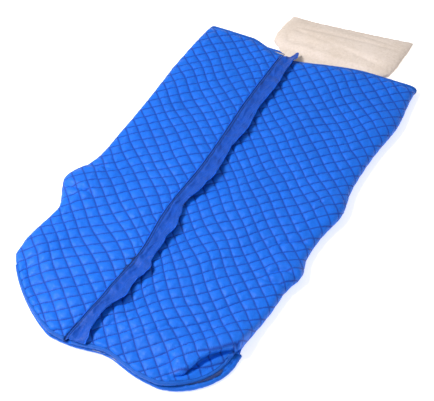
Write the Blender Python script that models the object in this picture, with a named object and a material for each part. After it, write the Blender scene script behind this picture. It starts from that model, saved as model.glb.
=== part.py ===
"""Infrared sauna blanket with a split quilted top, a closing band and a head pillow.

Metres, +Z up, +Y towards the head, +X to the user's right when lying on the back.
The origin is on the floor under the middle of the whole object's outline.
"""

import math

import bmesh
import bpy
from mathutils import Vector

# ---- overall sizes -------------------------------------------------------------------
blanket_length = 1.79  # foot binding's tip to head hem
blanket_width = 1.008  # over the widest soft bulges
pillow_showing = 0.29  # pillow past the head hem

# ---- cloth and layers ----------------------------------------------------------------
clearance = 0.0003  # between layers that lie on each other
quilt = 0.008
insulation = 0.004
carrier = 0.0012
cable_diameter = 0.0026
lining = 0.001
tape = 0.0017
binding_cloth = 0.0012
body_gap = 0.0177  # between the linings, with nobody inside

# ---- outline of the lying blanket ----------------------------------------------------
# Each wave of a side line: its place from the foot tip, how far it stands out, its reach.
left_bulge = (0.708, 0.054, 0.09)
right_bulge = (0.993, 0.026, 0.10)
left_waves = ((0.34, 0.010, 0.09), (0.547, -0.010, 0.05), (1.49, 0.010, 0.15))
right_waves = ((0.647, 0.024, 0.06), (1.54, 0.021, 0.14))
left_fold_width = 0.030  # side line to fold line
right_fold_width = 0.038
left_leaf_width = 0.332
leaf_split = 0.008
foot_skew = 0.031  # the left of the foot edge stops this much higher
foot_dip = 0.028
foot_dip_reach = 0.09
left_corner_across = 0.30
left_corner_along = 0.26
left_corner_power = 1.25
right_corner_across = 0.19
right_corner_along = 0.196
right_corner_power = 1.8
right_foot_taper = 0.018
right_foot_taper_from_foot = 0.49
taper_length = 0.25
least_fold = 0.014
side_wall = 0.010

# ---- head hems -----------------------------------------------------------------------
base_hem_back = 0.005
left_hem_lift = 0.007
left_hem_fall = 0.012
left_hem_fall_width = 0.15
right_hem_dip = 0.037
right_hem_rise = 0.065
binding_depth = 0.012

# ---- foot closing --------------------------------------------------------------------
foot_tape_start = 0.014
foot_tape_width = 0.028
droop_flat = 0.05
droop_run = 0.11

# ---- closing band --------------------------------------------------------------------
band_width = 0.080
band_cloth = 0.0035
band_seam = 0.010
band_past_hem = 0.032
band_short_of_foot = 0.035
band_lift_head = 0.020
band_lift_foot = 0.009
band_tape_width = 0.030
band_tape_inset = 0.020
band_tape_end = 0.030
piping_diameter = 0.004

# ---- heaters -------------------------------------------------------------------------
heater_margin = 0.045
run_spacing = 0.072
leaf_run_spacing = 0.080
zone_gap = 0.075
heater_head_margin = 0.13
leaf_heater_head_margin = 0.06
heater_foot_margin = 0.05
lead_pitch = 0.016
lead_edge = 0.028
cutout_length = 0.014
cutout_width = 0.008
sensor_length = 0.010
sensor_width = 0.005
part_height = 0.0024

# ---- power inlet ---------------------------------------------------------------------
inlet_width = 0.056
inlet_length = 0.044
inlet_height = 0.0197
inlet_edge = 0.020
inlet_bevel = 0.002
socket_diameter = 0.011
socket_depth = 0.022
socket_play = 0.0004
disc_thickness = 0.004
contact_diameter = 0.0016
contact_length = 0.009
contact_circle = 0.0028
window_clearance = 0.001

# ---- pillow --------------------------------------------------------------------------
pillow_width = 0.524
pillow_offset = 0.084
pillow_skew = 0.040
pillow_corner = 0.045
pillow_cloth = 0.002
tail_length = 0.13
tail_inset = 0.040

# ---- worked out ----------------------------------------------------------------------
overall_length = blanket_length + pillow_showing
foot_y = clearance + binding_cloth - overall_length / 2
hem_y = overall_length / 2 - pillow_showing
left_side = -blanket_width / 2 + left_bulge[1]
right_side = blanket_width / 2 - right_bulge[1]
left_fold = left_side + left_fold_width
right_fold = right_side - right_fold_width
seam = left_fold + left_leaf_width
right_tip = seam + leaf_split
band_root = seam - band_seam / 2
left_foot_y = foot_y + foot_skew

insulation_z = quilt + clearance
carrier_z = insulation_z + insulation + clearance
cable_z = carrier_z + carrier + clearance
lining_z = cable_z + cable_diameter + clearance
base_top = lining_z + lining
leaf_z = base_top + body_gap
leaf_carrier_z = leaf_z + lining + clearance
leaf_cable_z = leaf_carrier_z + carrier + clearance
leaf_quilt_z = leaf_cable_z + cable_diameter + clearance
leaf_top = leaf_quilt_z + quilt
base_tape_z = base_top + clearance
leaf_tape_z = base_tape_z + tape + clearance
foot_droop = leaf_z - (leaf_tape_z + tape + clearance)
hinge_z = leaf_top + clearance + binding_cloth + clearance


# ---- outline -------------------------------------------------------------------------
def hump(value, centre, reach):
    return math.exp(-(((value - centre) / reach) ** 2))


def ease(value):
    value = min(1.0, max(0.0, value))
    return value * value * (3 - 2 * value)


def corner(share, power):
    """How far a rounded corner has come in, 0 to 1, where share of its length is left."""
    share = min(1.0, max(0.0, share))
    return 1 - (1 - share**power) ** (1 / power)


def foot_edge(x):
    left_end = left_side + left_corner_across
    right_end = right_side - right_foot_taper - right_corner_across
    if x < left_end:
        share = (left_end - x) / left_corner_across
        return left_foot_y + left_corner_along * corner(share, left_corner_power)
    if x > right_end:
        share = (x - right_end) / right_corner_across
        return foot_y + right_corner_along * corner(share, right_corner_power)
    across = (x - left_end) / (right_end - left_end)
    line = left_foot_y + (foot_y - left_foot_y) * across
    middle = (left_end + right_end) / 2
    fade = ease(4 * across) * ease(4 * (1 - across))
    return line + fade * foot_dip * hump(x, middle, foot_dip_reach)


def stands_out(y, waves):
    return sum(height * hump(y, foot_y + place, reach) for place, height, reach in waves)


def left_edge(y):
    share = (left_foot_y + left_corner_along - y) / left_corner_along
    rounding = left_corner_across * corner(share, left_corner_power)
    return left_side - stands_out(y, (left_bulge, *left_waves)) + rounding


def right_edge(y):
    bulge = stands_out(y, (right_bulge, *right_waves))
    taper = right_foot_taper * ease((foot_y + right_foot_taper_from_foot - y) / taper_length)
    share = (foot_y + right_corner_along - y) / right_corner_along
    rounding = right_corner_across * corner(share, right_corner_power)
    return right_side + bulge - taper - rounding


def base_hem(x):
    return hem_y - base_hem_back


def left_hem(x):
    fall = ease((x - seam + left_hem_fall_width) / left_hem_fall_width)
    return hem_y + left_hem_lift - left_hem_fall * fall


def right_hem(x):
    share = (x - right_tip) / (right_side - right_tip)
    return hem_y - right_hem_dip + right_hem_rise * share


def droop(x, y):
    """How far a leaf hangs down to the base at its foot edge."""
    from_foot = y - foot_edge(x)
    return foot_droop * (1 - ease((from_foot - droop_flat) / droop_run))


# ---- materials -----------------------------------------------------------------------
def material(name, colour, roughness, metallic=0.0):
    made = bpy.data.materials.new(name)
    made.use_nodes = True
    shader = made.node_tree.nodes["Principled BSDF"]
    shader.inputs["Base Color"].default_value = (*colour, 1)
    shader.inputs["Roughness"].default_value = roughness
    shader.inputs["Metallic"].default_value = metallic
    return made


# ---- mesh tools ----------------------------------------------------------------------
def finish_mesh(name, mesh_data, look):
    bmesh.ops.recalc_face_normals(mesh_data, faces=mesh_data.faces)
    mesh = bpy.data.meshes.new(name)
    mesh_data.to_mesh(mesh)
    mesh_data.free()
    made = bpy.data.objects.new(name, mesh)
    bpy.context.scene.collection.objects.link(made)
    mesh.materials.append(look)
    return made


def spread(start, end, count):
    return [start + (end - start) * i / count for i in range(count + 1)]


def panel(name, look, across, foot, head, low, high, foot_steps=(), long_steps=6):
    """A sheet between two x places, following its foot and head edges and two heights."""
    grid = []
    for x in across:
        start = foot(x)
        ends = [start] + [start + step for step in foot_steps]
        places = ends[:-1] + spread(ends[-1], head(x), long_steps)
        grid.append([(x, y) for y in places])
    mesh = bmesh.new()
    top = [[mesh.verts.new((x, y, high(x, y))) for x, y in line] for line in grid]
    bottom = [[mesh.verts.new((x, y, low(x, y))) for x, y in line] for line in grid]
    columns, rows = len(grid) - 1, len(grid[0]) - 1
    for i in range(columns):
        for j in range(rows):
            for sheet in (top, bottom):
                corners = (sheet[i][j], sheet[i + 1][j], sheet[i + 1][j + 1], sheet[i][j + 1])
                mesh.faces.new(corners)
    rim = [(i, 0) for i in range(columns)] + [(columns, j) for j in range(rows)]
    rim += [(i, rows) for i in range(columns, 0, -1)] + [(0, j) for j in range(rows, 0, -1)]
    for (i, j), (k, m) in zip(rim, rim[1:] + rim[:1]):
        mesh.faces.new((top[i][j], top[k][m], bottom[k][m], bottom[i][j]))
    return finish_mesh(name, mesh, look)


def loft(name, look, rings):
    """A closed solid through rings that have the same number of points."""
    mesh = bmesh.new()
    loops = [[mesh.verts.new(point) for point in ring] for ring in rings]
    bridge(mesh, loops)
    mesh.faces.new(loops[0])
    mesh.faces.new(loops[-1])
    return finish_mesh(name, mesh, look)


def bridge(mesh, loops):
    for one, two in zip(loops, loops[1:]):
        for i in range(len(one)):
            k = (i + 1) % len(one)
            mesh.faces.new((one[i], one[k], two[k], two[i]))


def case(name, look, outer, inner):
    """A bag of cloth that is open at its first ring."""
    mesh = bmesh.new()
    outside = [[mesh.verts.new(point) for point in ring] for ring in outer]
    inside = [[mesh.verts.new(point) for point in ring] for ring in inner]
    bridge(mesh, outside)
    bridge(mesh, inside)
    bridge(mesh, [outside[0], inside[0]])
    mesh.faces.new(outside[-1])
    mesh.faces.new(inside[-1])
    return finish_mesh(name, mesh, look)


def block(name, look, low, high, bevel=0.0):
    mesh = bmesh.new()
    bmesh.ops.create_cube(mesh, size=1)
    for vert in mesh.verts:
        vert.co = Vector(a + (b - a) * (c + 0.5) for a, b, c in zip(low, high, vert.co))
    made = finish_mesh(name, mesh, look)
    if bevel:
        edges = made.modifiers.new("edges", "BEVEL")
        edges.width = bevel
        edges.segments = 2
    return made


def rod(name, look, start, length, diameter, sides):
    """A cylinder that runs from start towards +Y."""
    mesh = bmesh.new()
    size = {"radius1": diameter / 2, "radius2": diameter / 2, "depth": length}
    bmesh.ops.create_cone(mesh, cap_ends=True, segments=sides, **size)
    for vert in mesh.verts:
        x, y, z = vert.co
        vert.co = Vector((x, z + length / 2, -y)) + Vector(start)
    return finish_mesh(name, mesh, look)


def tube(name, look, points, diameter, resolution=1):
    curve = bpy.data.curves.new(name, "CURVE")
    curve.dimensions = "3D"
    curve.bevel_depth = diameter / 2
    curve.bevel_resolution = resolution
    curve.use_fill_caps = True
    line = curve.splines.new("POLY")
    line.points.add(len(points) - 1)
    for point, place in zip(line.points, points):
        point.co = (*place, 1)
    made = bpy.data.objects.new(name, curve)
    bpy.context.scene.collection.objects.link(made)
    curve.materials.append(look)
    return made


def boolean(target, helper, operation):
    helper.hide_render = True
    helper.display_type = "WIRE"
    made = target.modifiers.new(helper.name, "BOOLEAN")
    made.operation = operation
    made.object = helper


def move_origin(made, x, y, z):
    """Puts the object's origin on its joint's axis and leaves its shape where it is."""
    place = Vector((x, y, z))
    if made.type == "MESH":
        for vert in made.data.vertices:
            vert.co -= place
    else:
        for point in made.data.splines[0].points:
            point.co = (*(point.co.xyz - place), 1)
    made.location = place


# ---- sheets --------------------------------------------------------------------------
def flat(height):
    return lambda x, y: height


def leaf_level(height):
    return lambda x, y: height - droop(x, y)


def base_columns():
    inner_left = left_fold + clearance
    left_part = spread(inner_left, left_side + left_corner_across, 6)
    right_start = right_side - right_foot_taper - right_corner_across
    middle_part = spread(left_part[-1], right_start, 6)
    right_part = spread(right_start, right_fold - clearance, 6)
    return left_part + middle_part[1:] + right_part[1:]


leaf_foot_steps = (droop_flat, *(droop_flat + droop_run * i / 4 for i in range(1, 5)))
band_foot_steps = (band_short_of_foot, *leaf_foot_steps)


def base_sheet(name, look, low, high):
    return panel(name, look, base_columns(), foot_edge, base_hem, flat(low), flat(high))


def leaf_sheet(name, look, side, low, high):
    start, end, count, hem = side
    columns = spread(start, end, count)
    sheet = (columns, foot_edge, hem, leaf_level(low), leaf_level(high))
    return panel(name, look, *sheet, foot_steps=leaf_foot_steps, long_steps=5)


def edge_binding(name, look, columns, edge, inward, low, high, wraps_under=True):
    """A strip of cloth folded over an edge; inward is +1 at the foot and -1 at the head."""
    rings = []
    for x in columns:
        y = edge(x)
        face = y - inward * clearance
        outer = face - inward * binding_cloth
        inner = y + inward * binding_depth
        over, under = high + clearance, low - clearance
        ring = [(inner, over), (inner, over + binding_cloth), (outer, over + binding_cloth)]
        if wraps_under:
            ring += [(outer, under - binding_cloth), (inner, under - binding_cloth)]
            ring += [(inner, under), (face, under), (face, over)]
        else:
            ring += [(outer, low), (face, low), (face, over)]
        rings.append([(x, a, b) for a, b in ring])
    return loft(name, look, rings)


def foot_strip(name, look, start, end, count, low, high):
    def near(x):
        return foot_edge(x) + foot_tape_start

    def far(x):
        return near(x) + foot_tape_width

    columns = spread(start, end, count)
    return panel(name, look, columns, near, far, flat(low), flat(high), long_steps=1)


# ---- side folds ----------------------------------------------------------------------
def side_fold(name, look, fold, edge, places):
    """The outer quilt's turn from the base up to the leaf, thick-walled, open inwards."""
    middle = leaf_top / 2
    steps = 6
    rings = []
    for y in places:
        reach = edge(y) - fold
        side = math.copysign(1, reach)
        ring = []
        for wall, order in ((0, range(steps + 1)), (side_wall, range(steps, -1, -1))):
            for i in order:
                turn = math.pi * i / steps
                out = (abs(reach) - wall) * math.sin(turn) ** 0.8
                up = (middle - wall) * math.cos(turn)
                ring.append((fold + side * out, y, middle + up))
        rings.append(ring)
    return loft(name, look, rings)


def fold_start(edge, fold, from_y):
    """The first y at which the fold is deep enough to hold its own wall."""
    y = from_y
    while abs(edge(y) - fold) < least_fold or (edge(y) - fold) * fold < 0:
        y += clearance
    return y


def fold_places(start, end, waves):
    """The rows of a side fold, with one at the peak and two on the flanks of each wave."""
    places = spread(start, end, 7)
    for place, _, reach in waves:
        places += [foot_y + place + reach * step for step in (-0.8, 0, 0.8)]
    return sorted(y for y in places if start <= y <= end)


# ---- heaters -------------------------------------------------------------------------
def serpentine(first, last, run_ends, runs, height, along_x):
    """Even runs joined by half-round bends, starting and ending at the same side."""
    pitch = (last - first) / (runs - 1)
    radius = abs(pitch) / 2
    near, far = run_ends
    points = []
    for i in range(runs):
        level = first + pitch * i
        start, end = (near, far) if i % 2 == 0 else (far, near)
        heading = math.copysign(1, end - start)
        points.append((start if i == 0 else start + heading * radius, level))
        if i == runs - 1:
            points.append((end, level))
            continue
        bend = end - heading * radius
        points.append((bend, level))
        for k in range(1, 4):
            turn = math.pi * k / 4
            out = bend + heading * radius * math.sin(turn)
            points.append((out, level + pitch * (1 - math.cos(turn)) / 2))
    if along_x:
        return [(a, b, height) for a, b in points]
    return [(b, a, height) for a, b in points]


def even_runs(length, spacing):
    return max(2, 2 * round(length / spacing / 2))


# ---- sub-parts -----------------------------------------------------------------------
def build_base(looks):
    base_sheet("base_outer_quilt", looks["quilt"], 0, quilt)
    base_sheet("base_insulation", looks["felt"], insulation_z, insulation_z + insulation)
    base_sheet("base_heater_carrier", looks["carrier"], carrier_z, carrier_z + carrier)
    made = base_sheet("base_lining", looks["lining"], lining_z, base_top)
    low, high = inlet_box()
    margin = window_clearance
    window = block(
        "inlet_window",
        looks["lining"],
        (low[0] - margin, low[1] - margin, lining_z - lining),
        (high[0] + margin, high[1] + margin, base_top + lining),
    )
    boolean(made, window, "DIFFERENCE")
    columns = spread(left_fold + clearance, right_fold - clearance, 2)
    head = (columns, base_hem, -1, 0, base_top)
    edge_binding("base_head_binding", looks["binding"], *head, wraps_under=False)
    foot = (base_columns(), foot_edge, 1, 0, base_top)
    edge_binding("base_foot_binding", looks["binding"], *foot, wraps_under=False)
    start, end = left_fold + clearance, right_fold - clearance
    tape_top = base_tape_z + tape
    foot_strip("base_foot_loop_tape", looks["loop"], start, end, 18, base_tape_z, tape_top)


def build_side_folds(looks):
    start = fold_start(left_edge, left_fold, foot_edge(left_fold))
    places = fold_places(start, left_hem(left_fold), (left_bulge, *left_waves))
    side_fold("left_side_fold", looks["quilt"], left_fold, left_edge, places)
    start = fold_start(right_edge, right_fold, foot_edge(right_fold))
    places = fold_places(start, right_hem(right_fold), (right_bulge, *right_waves))
    side_fold("right_side_fold", looks["quilt"], right_fold, right_edge, places)


def zone_limits():
    """The two heated zones of the base, as pairs of y, back zone first."""
    top = hem_y - heater_head_margin
    bottom = foot_edge(left_fold + lead_edge) + heater_foot_margin
    middle = (top + bottom) / 2
    return (top, middle + zone_gap / 2), (middle - zone_gap / 2, bottom)


def build_base_heaters(looks):
    height = cable_z + cable_diameter / 2
    box_low, box_high = inlet_box()
    far = right_fold - heater_margin
    names = ("back_zone", "leg_zone")
    outer_lead = left_fold + lead_edge
    for index, (top, bottom) in enumerate(zone_limits()):
        lead_x = outer_lead + lead_pitch * (1 - index)
        near = lead_x + cable_diameter + clearance
        runs = even_runs(top - bottom, run_spacing)
        route = serpentine(top, bottom, (near, far), runs, height, True)
        tube("base_" + names[index] + "_heater", looks["cable"], route, cable_diameter)
        start = box_low[1] - clearance
        lead = [(lead_x, start, height), (lead_x, bottom - cable_diameter / 2, height)]
        tube(names[index] + "_lead", looks["lead"], lead, cable_diameter)
        pitch = (top - bottom) / (runs - 1)
        across = (near + far) / 2
        along = top - pitch * 1.5
        place = (across, along, cable_z)
        chip(names[index] + "_thermal_cutout", looks["plastic"], place, cutout_length, cutout_width)
        if index == 0:
            place = (across + 2 * cutout_length, along, cable_z)
            chip("temperature_sensor", looks["brass"], place, sensor_length, sensor_width)


def chip(name, look, place, length, width):
    x, y, z = place
    low = (x - length / 2, y - width / 2, z)
    high = (x + length / 2, y + width / 2, z + part_height)
    return block(name, look, low, high, bevel=part_height / 4)


def inlet_box():
    """The inlet housing's low and high corners, beside the head hem at the left."""
    front = hem_y - base_hem_back - binding_depth - window_clearance - clearance
    low = (left_fold + inlet_edge, front - inlet_length, cable_z)
    high = (low[0] + inlet_width, front, cable_z + inlet_height)
    return low, high


def build_inlet(looks):
    low, high = inlet_box()
    housing = block("inlet_housing", looks["plastic"], low, high, bevel=inlet_bevel)
    x = (low[0] + high[0]) / 2
    z = (base_top + 2 * clearance + binding_cloth + high[2]) / 2
    floor = high[1] - socket_depth
    hole = (x, floor, z)
    cutter = rod("socket_bore", looks["plastic"], hole, socket_depth * 2, socket_diameter, 24)
    boolean(housing, cutter, "DIFFERENCE")
    seat = (x, floor + clearance, z)
    disc_diameter = socket_diameter - 2 * socket_play
    disc = rod("inlet_contact_block", looks["plastic"], seat, disc_thickness, disc_diameter, 24)
    for i in range(3):
        turn = 2 * math.pi * i / 3 + math.pi / 2
        side = contact_circle * math.cos(turn)
        up = contact_circle * math.sin(turn)
        start = (x + side, floor + disc_thickness / 2, z + up)
        length = disc_thickness / 2 + contact_length
        pin = rod(f"contact_{i + 1}", looks["brass"], start, length, contact_diameter, 10)
        boolean(disc, pin, "UNION")


def left_leaf_side():
    return (left_fold + clearance, seam, 8, left_hem)


def right_leaf_side():
    return (right_tip, right_fold - clearance, 12, right_hem)


def build_leaf(looks, prefix, side):
    """One half of the top: outer quilt, heater, lining, its bound edges and its foot tape."""
    start, end, count, hem = side
    made = [
        leaf_sheet(prefix + "_outer_quilt", looks["quilt"], side, leaf_quilt_z, leaf_top),
        leaf_sheet(
            prefix + "_heater_carrier",
            looks["carrier"],
            side,
            leaf_carrier_z,
            leaf_carrier_z + carrier,
        ),
        leaf_sheet(prefix + "_lining", looks["lining"], side, leaf_z, leaf_z + lining),
    ]
    columns = spread(start, end, count)
    edge = (columns, hem, -1, leaf_z, leaf_top)
    made.append(edge_binding(prefix + "_head_binding", looks["binding"], *edge))
    edge = (columns, foot_edge, 1, leaf_z - foot_droop, leaf_top - foot_droop)
    made.append(edge_binding(prefix + "_foot_binding", looks["binding"], *edge))
    tape_box = (start, end, count, leaf_tape_z, leaf_tape_z + tape)
    made.append(foot_strip(prefix + "_foot_hook_tape", looks["hook"], *tape_box))
    near = max(foot_edge(start), foot_edge(end)) + droop_flat + droop_run
    far = hem_y - right_hem_dip - leaf_heater_head_margin
    first, last = start + heater_margin, end - heater_margin
    runs = even_runs(last - first, leaf_run_spacing)
    height = leaf_cable_z + cable_diameter / 2
    route = serpentine(first, last, (far, near), runs, height, False)
    made.append(tube(prefix + "_heater", looks["cable"], route, cable_diameter))
    return made


def build_band(looks):
    """The closing band: sewn along the seam, lying over the right leaf's edge."""
    rings = []
    top_y = left_hem(seam) + band_past_hem
    bottom_y = foot_edge(seam) + band_short_of_foot
    low = leaf_top + clearance
    over = low + 2 * tape + 2 * clearance
    inner = band_root + band_seam
    step = band_tape_inset - band_seam - clearance
    hem_start = min(left_hem(seam), right_hem(right_tip)) - binding_depth - 2 * clearance
    free = band_root + band_width
    section = [(band_root, low), (inner, low), (inner + step, over)]
    section += [(free - band_tape_inset, over), (free, over)]
    lines = [[foot_edge(x) + start for x, _ in section] for start in band_foot_steps]
    for share in spread(0, 1, 5)[1:]:
        lines.append([y + (hem_start - binding_cloth - y) * share for y in lines[5]])
    lines += [[y] * len(section) for y in (hem_start, top_y - band_past_hem / 2, top_y)]
    for line in lines:
        share = (line[0] - bottom_y) / (top_y - bottom_y)
        lift = band_lift_foot + (band_lift_head - band_lift_foot) * share
        rise = binding_cloth + clearance if line[0] >= hem_start else 0
        ups = (rise, rise, 0, 0, lift)
        ring = [(x, y, z + up - droop(x, y)) for (x, z), y, up in zip(section, line, ups)]
        rings.append(ring + [(x, y, z + band_cloth) for x, y, z in reversed(ring)])
    band = loft("closing_band", looks["band"], rings)

    left = band_root + band_tape_inset
    columns = [left, left + band_tape_width]
    hook_low = low + tape + clearance

    def tape_foot(x):
        return bottom_y + droop_flat + droop_run + band_tape_end

    def tape_head(x):
        return right_hem(right_tip) - binding_depth - band_tape_end

    ends = (columns, tape_foot, tape_head)
    levels = (flat(low), flat(low + tape))
    loop = panel("right_edge_loop_tape", looks["loop"], *ends, *levels, long_steps=1)
    levels = (flat(hook_low), flat(hook_low + tape))
    hook = panel("band_hook_tape", looks["hook"], *ends, *levels, long_steps=1)

    x = band_root - piping_diameter / 2 - clearance
    places = [foot_edge(x) + start for start in band_foot_steps]
    places += spread(places[-1], hem_start - 2 * piping_diameter, 6)[1:]
    height = leaf_top + clearance + piping_diameter / 2
    route = [(x, y, height - droop(x, y)) for y in places]
    piping = tube("seam_piping", looks["band"], route, piping_diameter)
    return [band, hook], loop, piping


def pillow_rings(cloth):
    """Rings across the pillow from its tucked-in tail to its far edge."""
    far = pillow_showing
    over_binding = base_top + clearance + binding_cloth + clearance
    profile = (
        (-tail_length, tail_inset, over_binding, over_binding + 0.0050),
        (-0.030, tail_inset, over_binding, over_binding + 0.0070),
        (0.002, tail_inset, over_binding, over_binding + 0.0100),
        (0.018, 0.030, 0.006, 0.0330),
        (0.045, 0.008, 0.0, 0.0400),
        (far * 0.35, 0.0, 0.0, 0.0430),
        (far * 0.55, 0.0, 0.0, 0.0390),
        (far * 0.76, 0.0, 0.0, 0.0310),
        (far * 0.91, pillow_corner * 0.25, 0.001, 0.0220),
        (far * 0.98, pillow_corner * 0.65, 0.005, 0.0150),
        (far, pillow_corner, 0.008, 0.0125),
    )
    steps = 16
    rings = []
    for place, inset, low, high in profile:
        if cloth and place == far:
            place = far - cloth
        half = pillow_width / 2 - inset - cloth
        middle, rise = (low + high) / 2, max((high - low) / 2 - cloth, cloth / 4)
        ring = []
        for i in range(steps):
            turn = 2 * math.pi * (i + 0.5) / steps
            side, up = math.cos(turn), math.sin(turn)
            x = pillow_offset + half * math.copysign(abs(side) ** 0.6, side)
            z = middle + rise * math.copysign(abs(up) ** 0.6, up)
            ring.append((x, place, z))
        rings.append(ring)
    widest = max(x for x, _, _ in rings[-1])
    skewed = []
    for ring in rings:
        amount = pillow_skew * ease(ring[0][1] / far)
        skewed.append(
            [(x, hem_y + y + amount * (x - widest) / pillow_width, z) for x, y, z in ring]
        )
    return skewed


def build_pillow(looks):
    outer, inner = pillow_rings(0), pillow_rings(pillow_cloth)
    cover = case("pillow_cover", looks["pillow"], outer, inner)
    filling_rings = pillow_rings(pillow_cloth + clearance)[1:]
    filling = loft("pillow_filling", looks["filling"], filling_rings)
    return [cover, filling]


def palette():
    """The object's own materials, by plain name."""
    return {
        "quilt": material("blue_quilted_nylon", (0.03, 0.17, 0.80), 0.45),
        "band": material("blue_band_cloth", (0.02, 0.11, 0.58), 0.45),
        "binding": material("dark_blue_binding", (0.015, 0.07, 0.42), 0.55),
        "felt": material("white_felt", (0.80, 0.79, 0.76), 0.95),
        "carrier": material("glass_fibre_cloth", (0.72, 0.70, 0.62), 0.80),
        "cable": material("silicone_heater_cable", (0.62, 0.10, 0.06), 0.50),
        "lead": material("black_lead", (0.03, 0.03, 0.03), 0.50),
        "lining": material("beige_lining", (0.76, 0.66, 0.55), 0.50),
        "hook": material("hook_tape", (0.02, 0.06, 0.30), 0.85),
        "loop": material("loop_tape", (0.03, 0.09, 0.40), 0.95),
        "plastic": material("black_plastic", (0.04, 0.04, 0.045), 0.40),
        "brass": material("brass", (0.75, 0.55, 0.25), 0.30, 1.0),
        "pillow": material("beige_cotton", (0.83, 0.71, 0.62), 0.90),
        "filling": material("white_wadding", (0.90, 0.90, 0.88), 0.95),
    }


def build():
    for old in list(bpy.data.objects):
        bpy.data.objects.remove(old)
    looks = palette()
    build_base(looks)
    build_side_folds(looks)
    build_base_heaters(looks)
    build_inlet(looks)
    left = build_leaf(looks, "left", left_leaf_side())
    right = build_leaf(looks, "right", right_leaf_side())
    band, loop, piping = build_band(looks)
    pillow = build_pillow(looks)
    for made in left + [piping]:
        move_origin(made, left_fold, 0, hinge_z)
    for made in right + [loop]:
        move_origin(made, right_fold, 0, hinge_z)
    for made in band:
        move_origin(made, band_root, 0, leaf_top + clearance + band_cloth)
    for made in pillow:
        move_origin(made, pillow_offset, hem_y, 0)


build()
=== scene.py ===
"""Looks of an infrared sauna blanket: quilted shell, linings, closing band and head pillow."""

import math

import bmesh
import bpy
import numpy as np
from bpy.props import FloatProperty, FloatVectorProperty, IntProperty, PointerProperty
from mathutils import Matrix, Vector


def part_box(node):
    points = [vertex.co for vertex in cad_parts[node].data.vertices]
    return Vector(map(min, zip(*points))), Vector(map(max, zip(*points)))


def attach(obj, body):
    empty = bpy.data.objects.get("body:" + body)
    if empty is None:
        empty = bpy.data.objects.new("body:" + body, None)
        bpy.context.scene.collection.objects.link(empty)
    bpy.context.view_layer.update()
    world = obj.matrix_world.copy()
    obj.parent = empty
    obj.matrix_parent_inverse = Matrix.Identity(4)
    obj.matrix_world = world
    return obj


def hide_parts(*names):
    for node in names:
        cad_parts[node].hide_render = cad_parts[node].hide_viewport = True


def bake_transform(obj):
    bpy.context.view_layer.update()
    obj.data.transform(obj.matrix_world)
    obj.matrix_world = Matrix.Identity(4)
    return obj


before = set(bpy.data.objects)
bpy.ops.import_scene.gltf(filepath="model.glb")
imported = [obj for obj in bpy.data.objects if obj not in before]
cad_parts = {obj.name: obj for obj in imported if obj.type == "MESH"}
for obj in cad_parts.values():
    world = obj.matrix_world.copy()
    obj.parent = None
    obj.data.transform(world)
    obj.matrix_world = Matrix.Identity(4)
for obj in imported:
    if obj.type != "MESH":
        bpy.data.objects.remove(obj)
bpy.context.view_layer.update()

bl_info = {
    "name": "Sauna Blanket Builder",
    "version": (1, 0, 0),
    "blender": (4, 5, 0),
    "location": "3D View > Sidebar > Blanket",
    "description": "Builds the quilted shell, linings, closing band and pillow of a sauna blanket",
    "category": "Object",
}

# ---- sizes of the solids, in metres --------------------------------------------------
clearance = 0.0003
binding_cloth = 0.0012
overall_length = 2.08
blanket_width = 1.008
pillow_showing = 0.29
left_bulge = (0.708, 0.054, 0.09)
right_bulge = (0.993, 0.026, 0.10)
left_waves = ((0.34, 0.010, 0.09), (0.547, -0.010, 0.05), (1.49, 0.010, 0.15))
right_waves = ((0.647, 0.024, 0.06), (1.54, 0.021, 0.14))
left_corner_across, left_corner_along, left_corner_power = 0.30, 0.26, 1.25
right_corner_across, right_corner_along, right_corner_power = 0.19, 0.196, 1.8
right_foot_taper, right_foot_taper_from_foot, taper_length = 0.018, 0.49, 0.25
foot_dip, foot_dip_reach = 0.028, 0.09
foot_y = clearance + binding_cloth - overall_length / 2
hem_y = overall_length / 2 - pillow_showing
left_side = -blanket_width / 2 + left_bulge[1]
right_side = blanket_width / 2 - right_bulge[1]
left_fold = left_side + 0.030
right_fold = right_side - 0.038
seam = left_fold + 0.332
right_tip = seam + 0.008
band_root = seam - 0.005
left_foot_y = foot_y + 0.031
base_top = 0.0180
foot_droop = 0.0134
droop_flat, droop_run = 0.05, 0.11
band_width, band_short_of_foot = 0.080, -0.003
tape_start, tape_width, tape_cloth = 0.014, 0.028, 0.0017

# ---- levels of the soft surfaces -----------------------------------------------------
skin_valley = 0.0432
under_valley = 0.0050
lining_level = 0.0362
base_lining_level = 0.0174
left_under, right_under = -0.36, 0.38
turn_margin = 0.0052  # kept inside the side line by a cloth that turns round it

# ---- the mesh weld --------------------------------------------------------------------
weld = 2e-5


# ---- outline -------------------------------------------------------------------------
def hump(value, centre, reach):
    return np.exp(-(((value - centre) / reach) ** 2))


def ease(value):
    value = np.clip(value, 0, 1)
    return value * value * (3 - 2 * value)


def corner(share, power):
    share = np.clip(share, 0, 1)
    return 1 - (1 - share**power) ** (1 / power)


def foot_edge(x):
    left_end = left_side + left_corner_across
    right_end = right_side - right_foot_taper - right_corner_across
    at_left = left_corner_along * corner((left_end - x) / left_corner_across, left_corner_power)
    at_right = right_corner_along * corner(
        (x - right_end) / right_corner_across, right_corner_power
    )
    across = (x - left_end) / (right_end - left_end)
    line = left_foot_y + (foot_y - left_foot_y) * np.clip(across, 0, 1)
    fade = ease(4 * across) * ease(4 * (1 - across))
    dip = fade * foot_dip * hump(x, (left_end + right_end) / 2, foot_dip_reach)
    return line + dip + at_left + at_right


def stands_out(y, waves):
    return sum(height * hump(y, foot_y + place, reach) for place, height, reach in waves)


def left_edge(y):
    share = (left_foot_y + left_corner_along - y) / left_corner_along
    rounding = left_corner_across * corner(share, left_corner_power)
    return left_side - stands_out(y, (left_bulge, *left_waves)) + rounding


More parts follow.
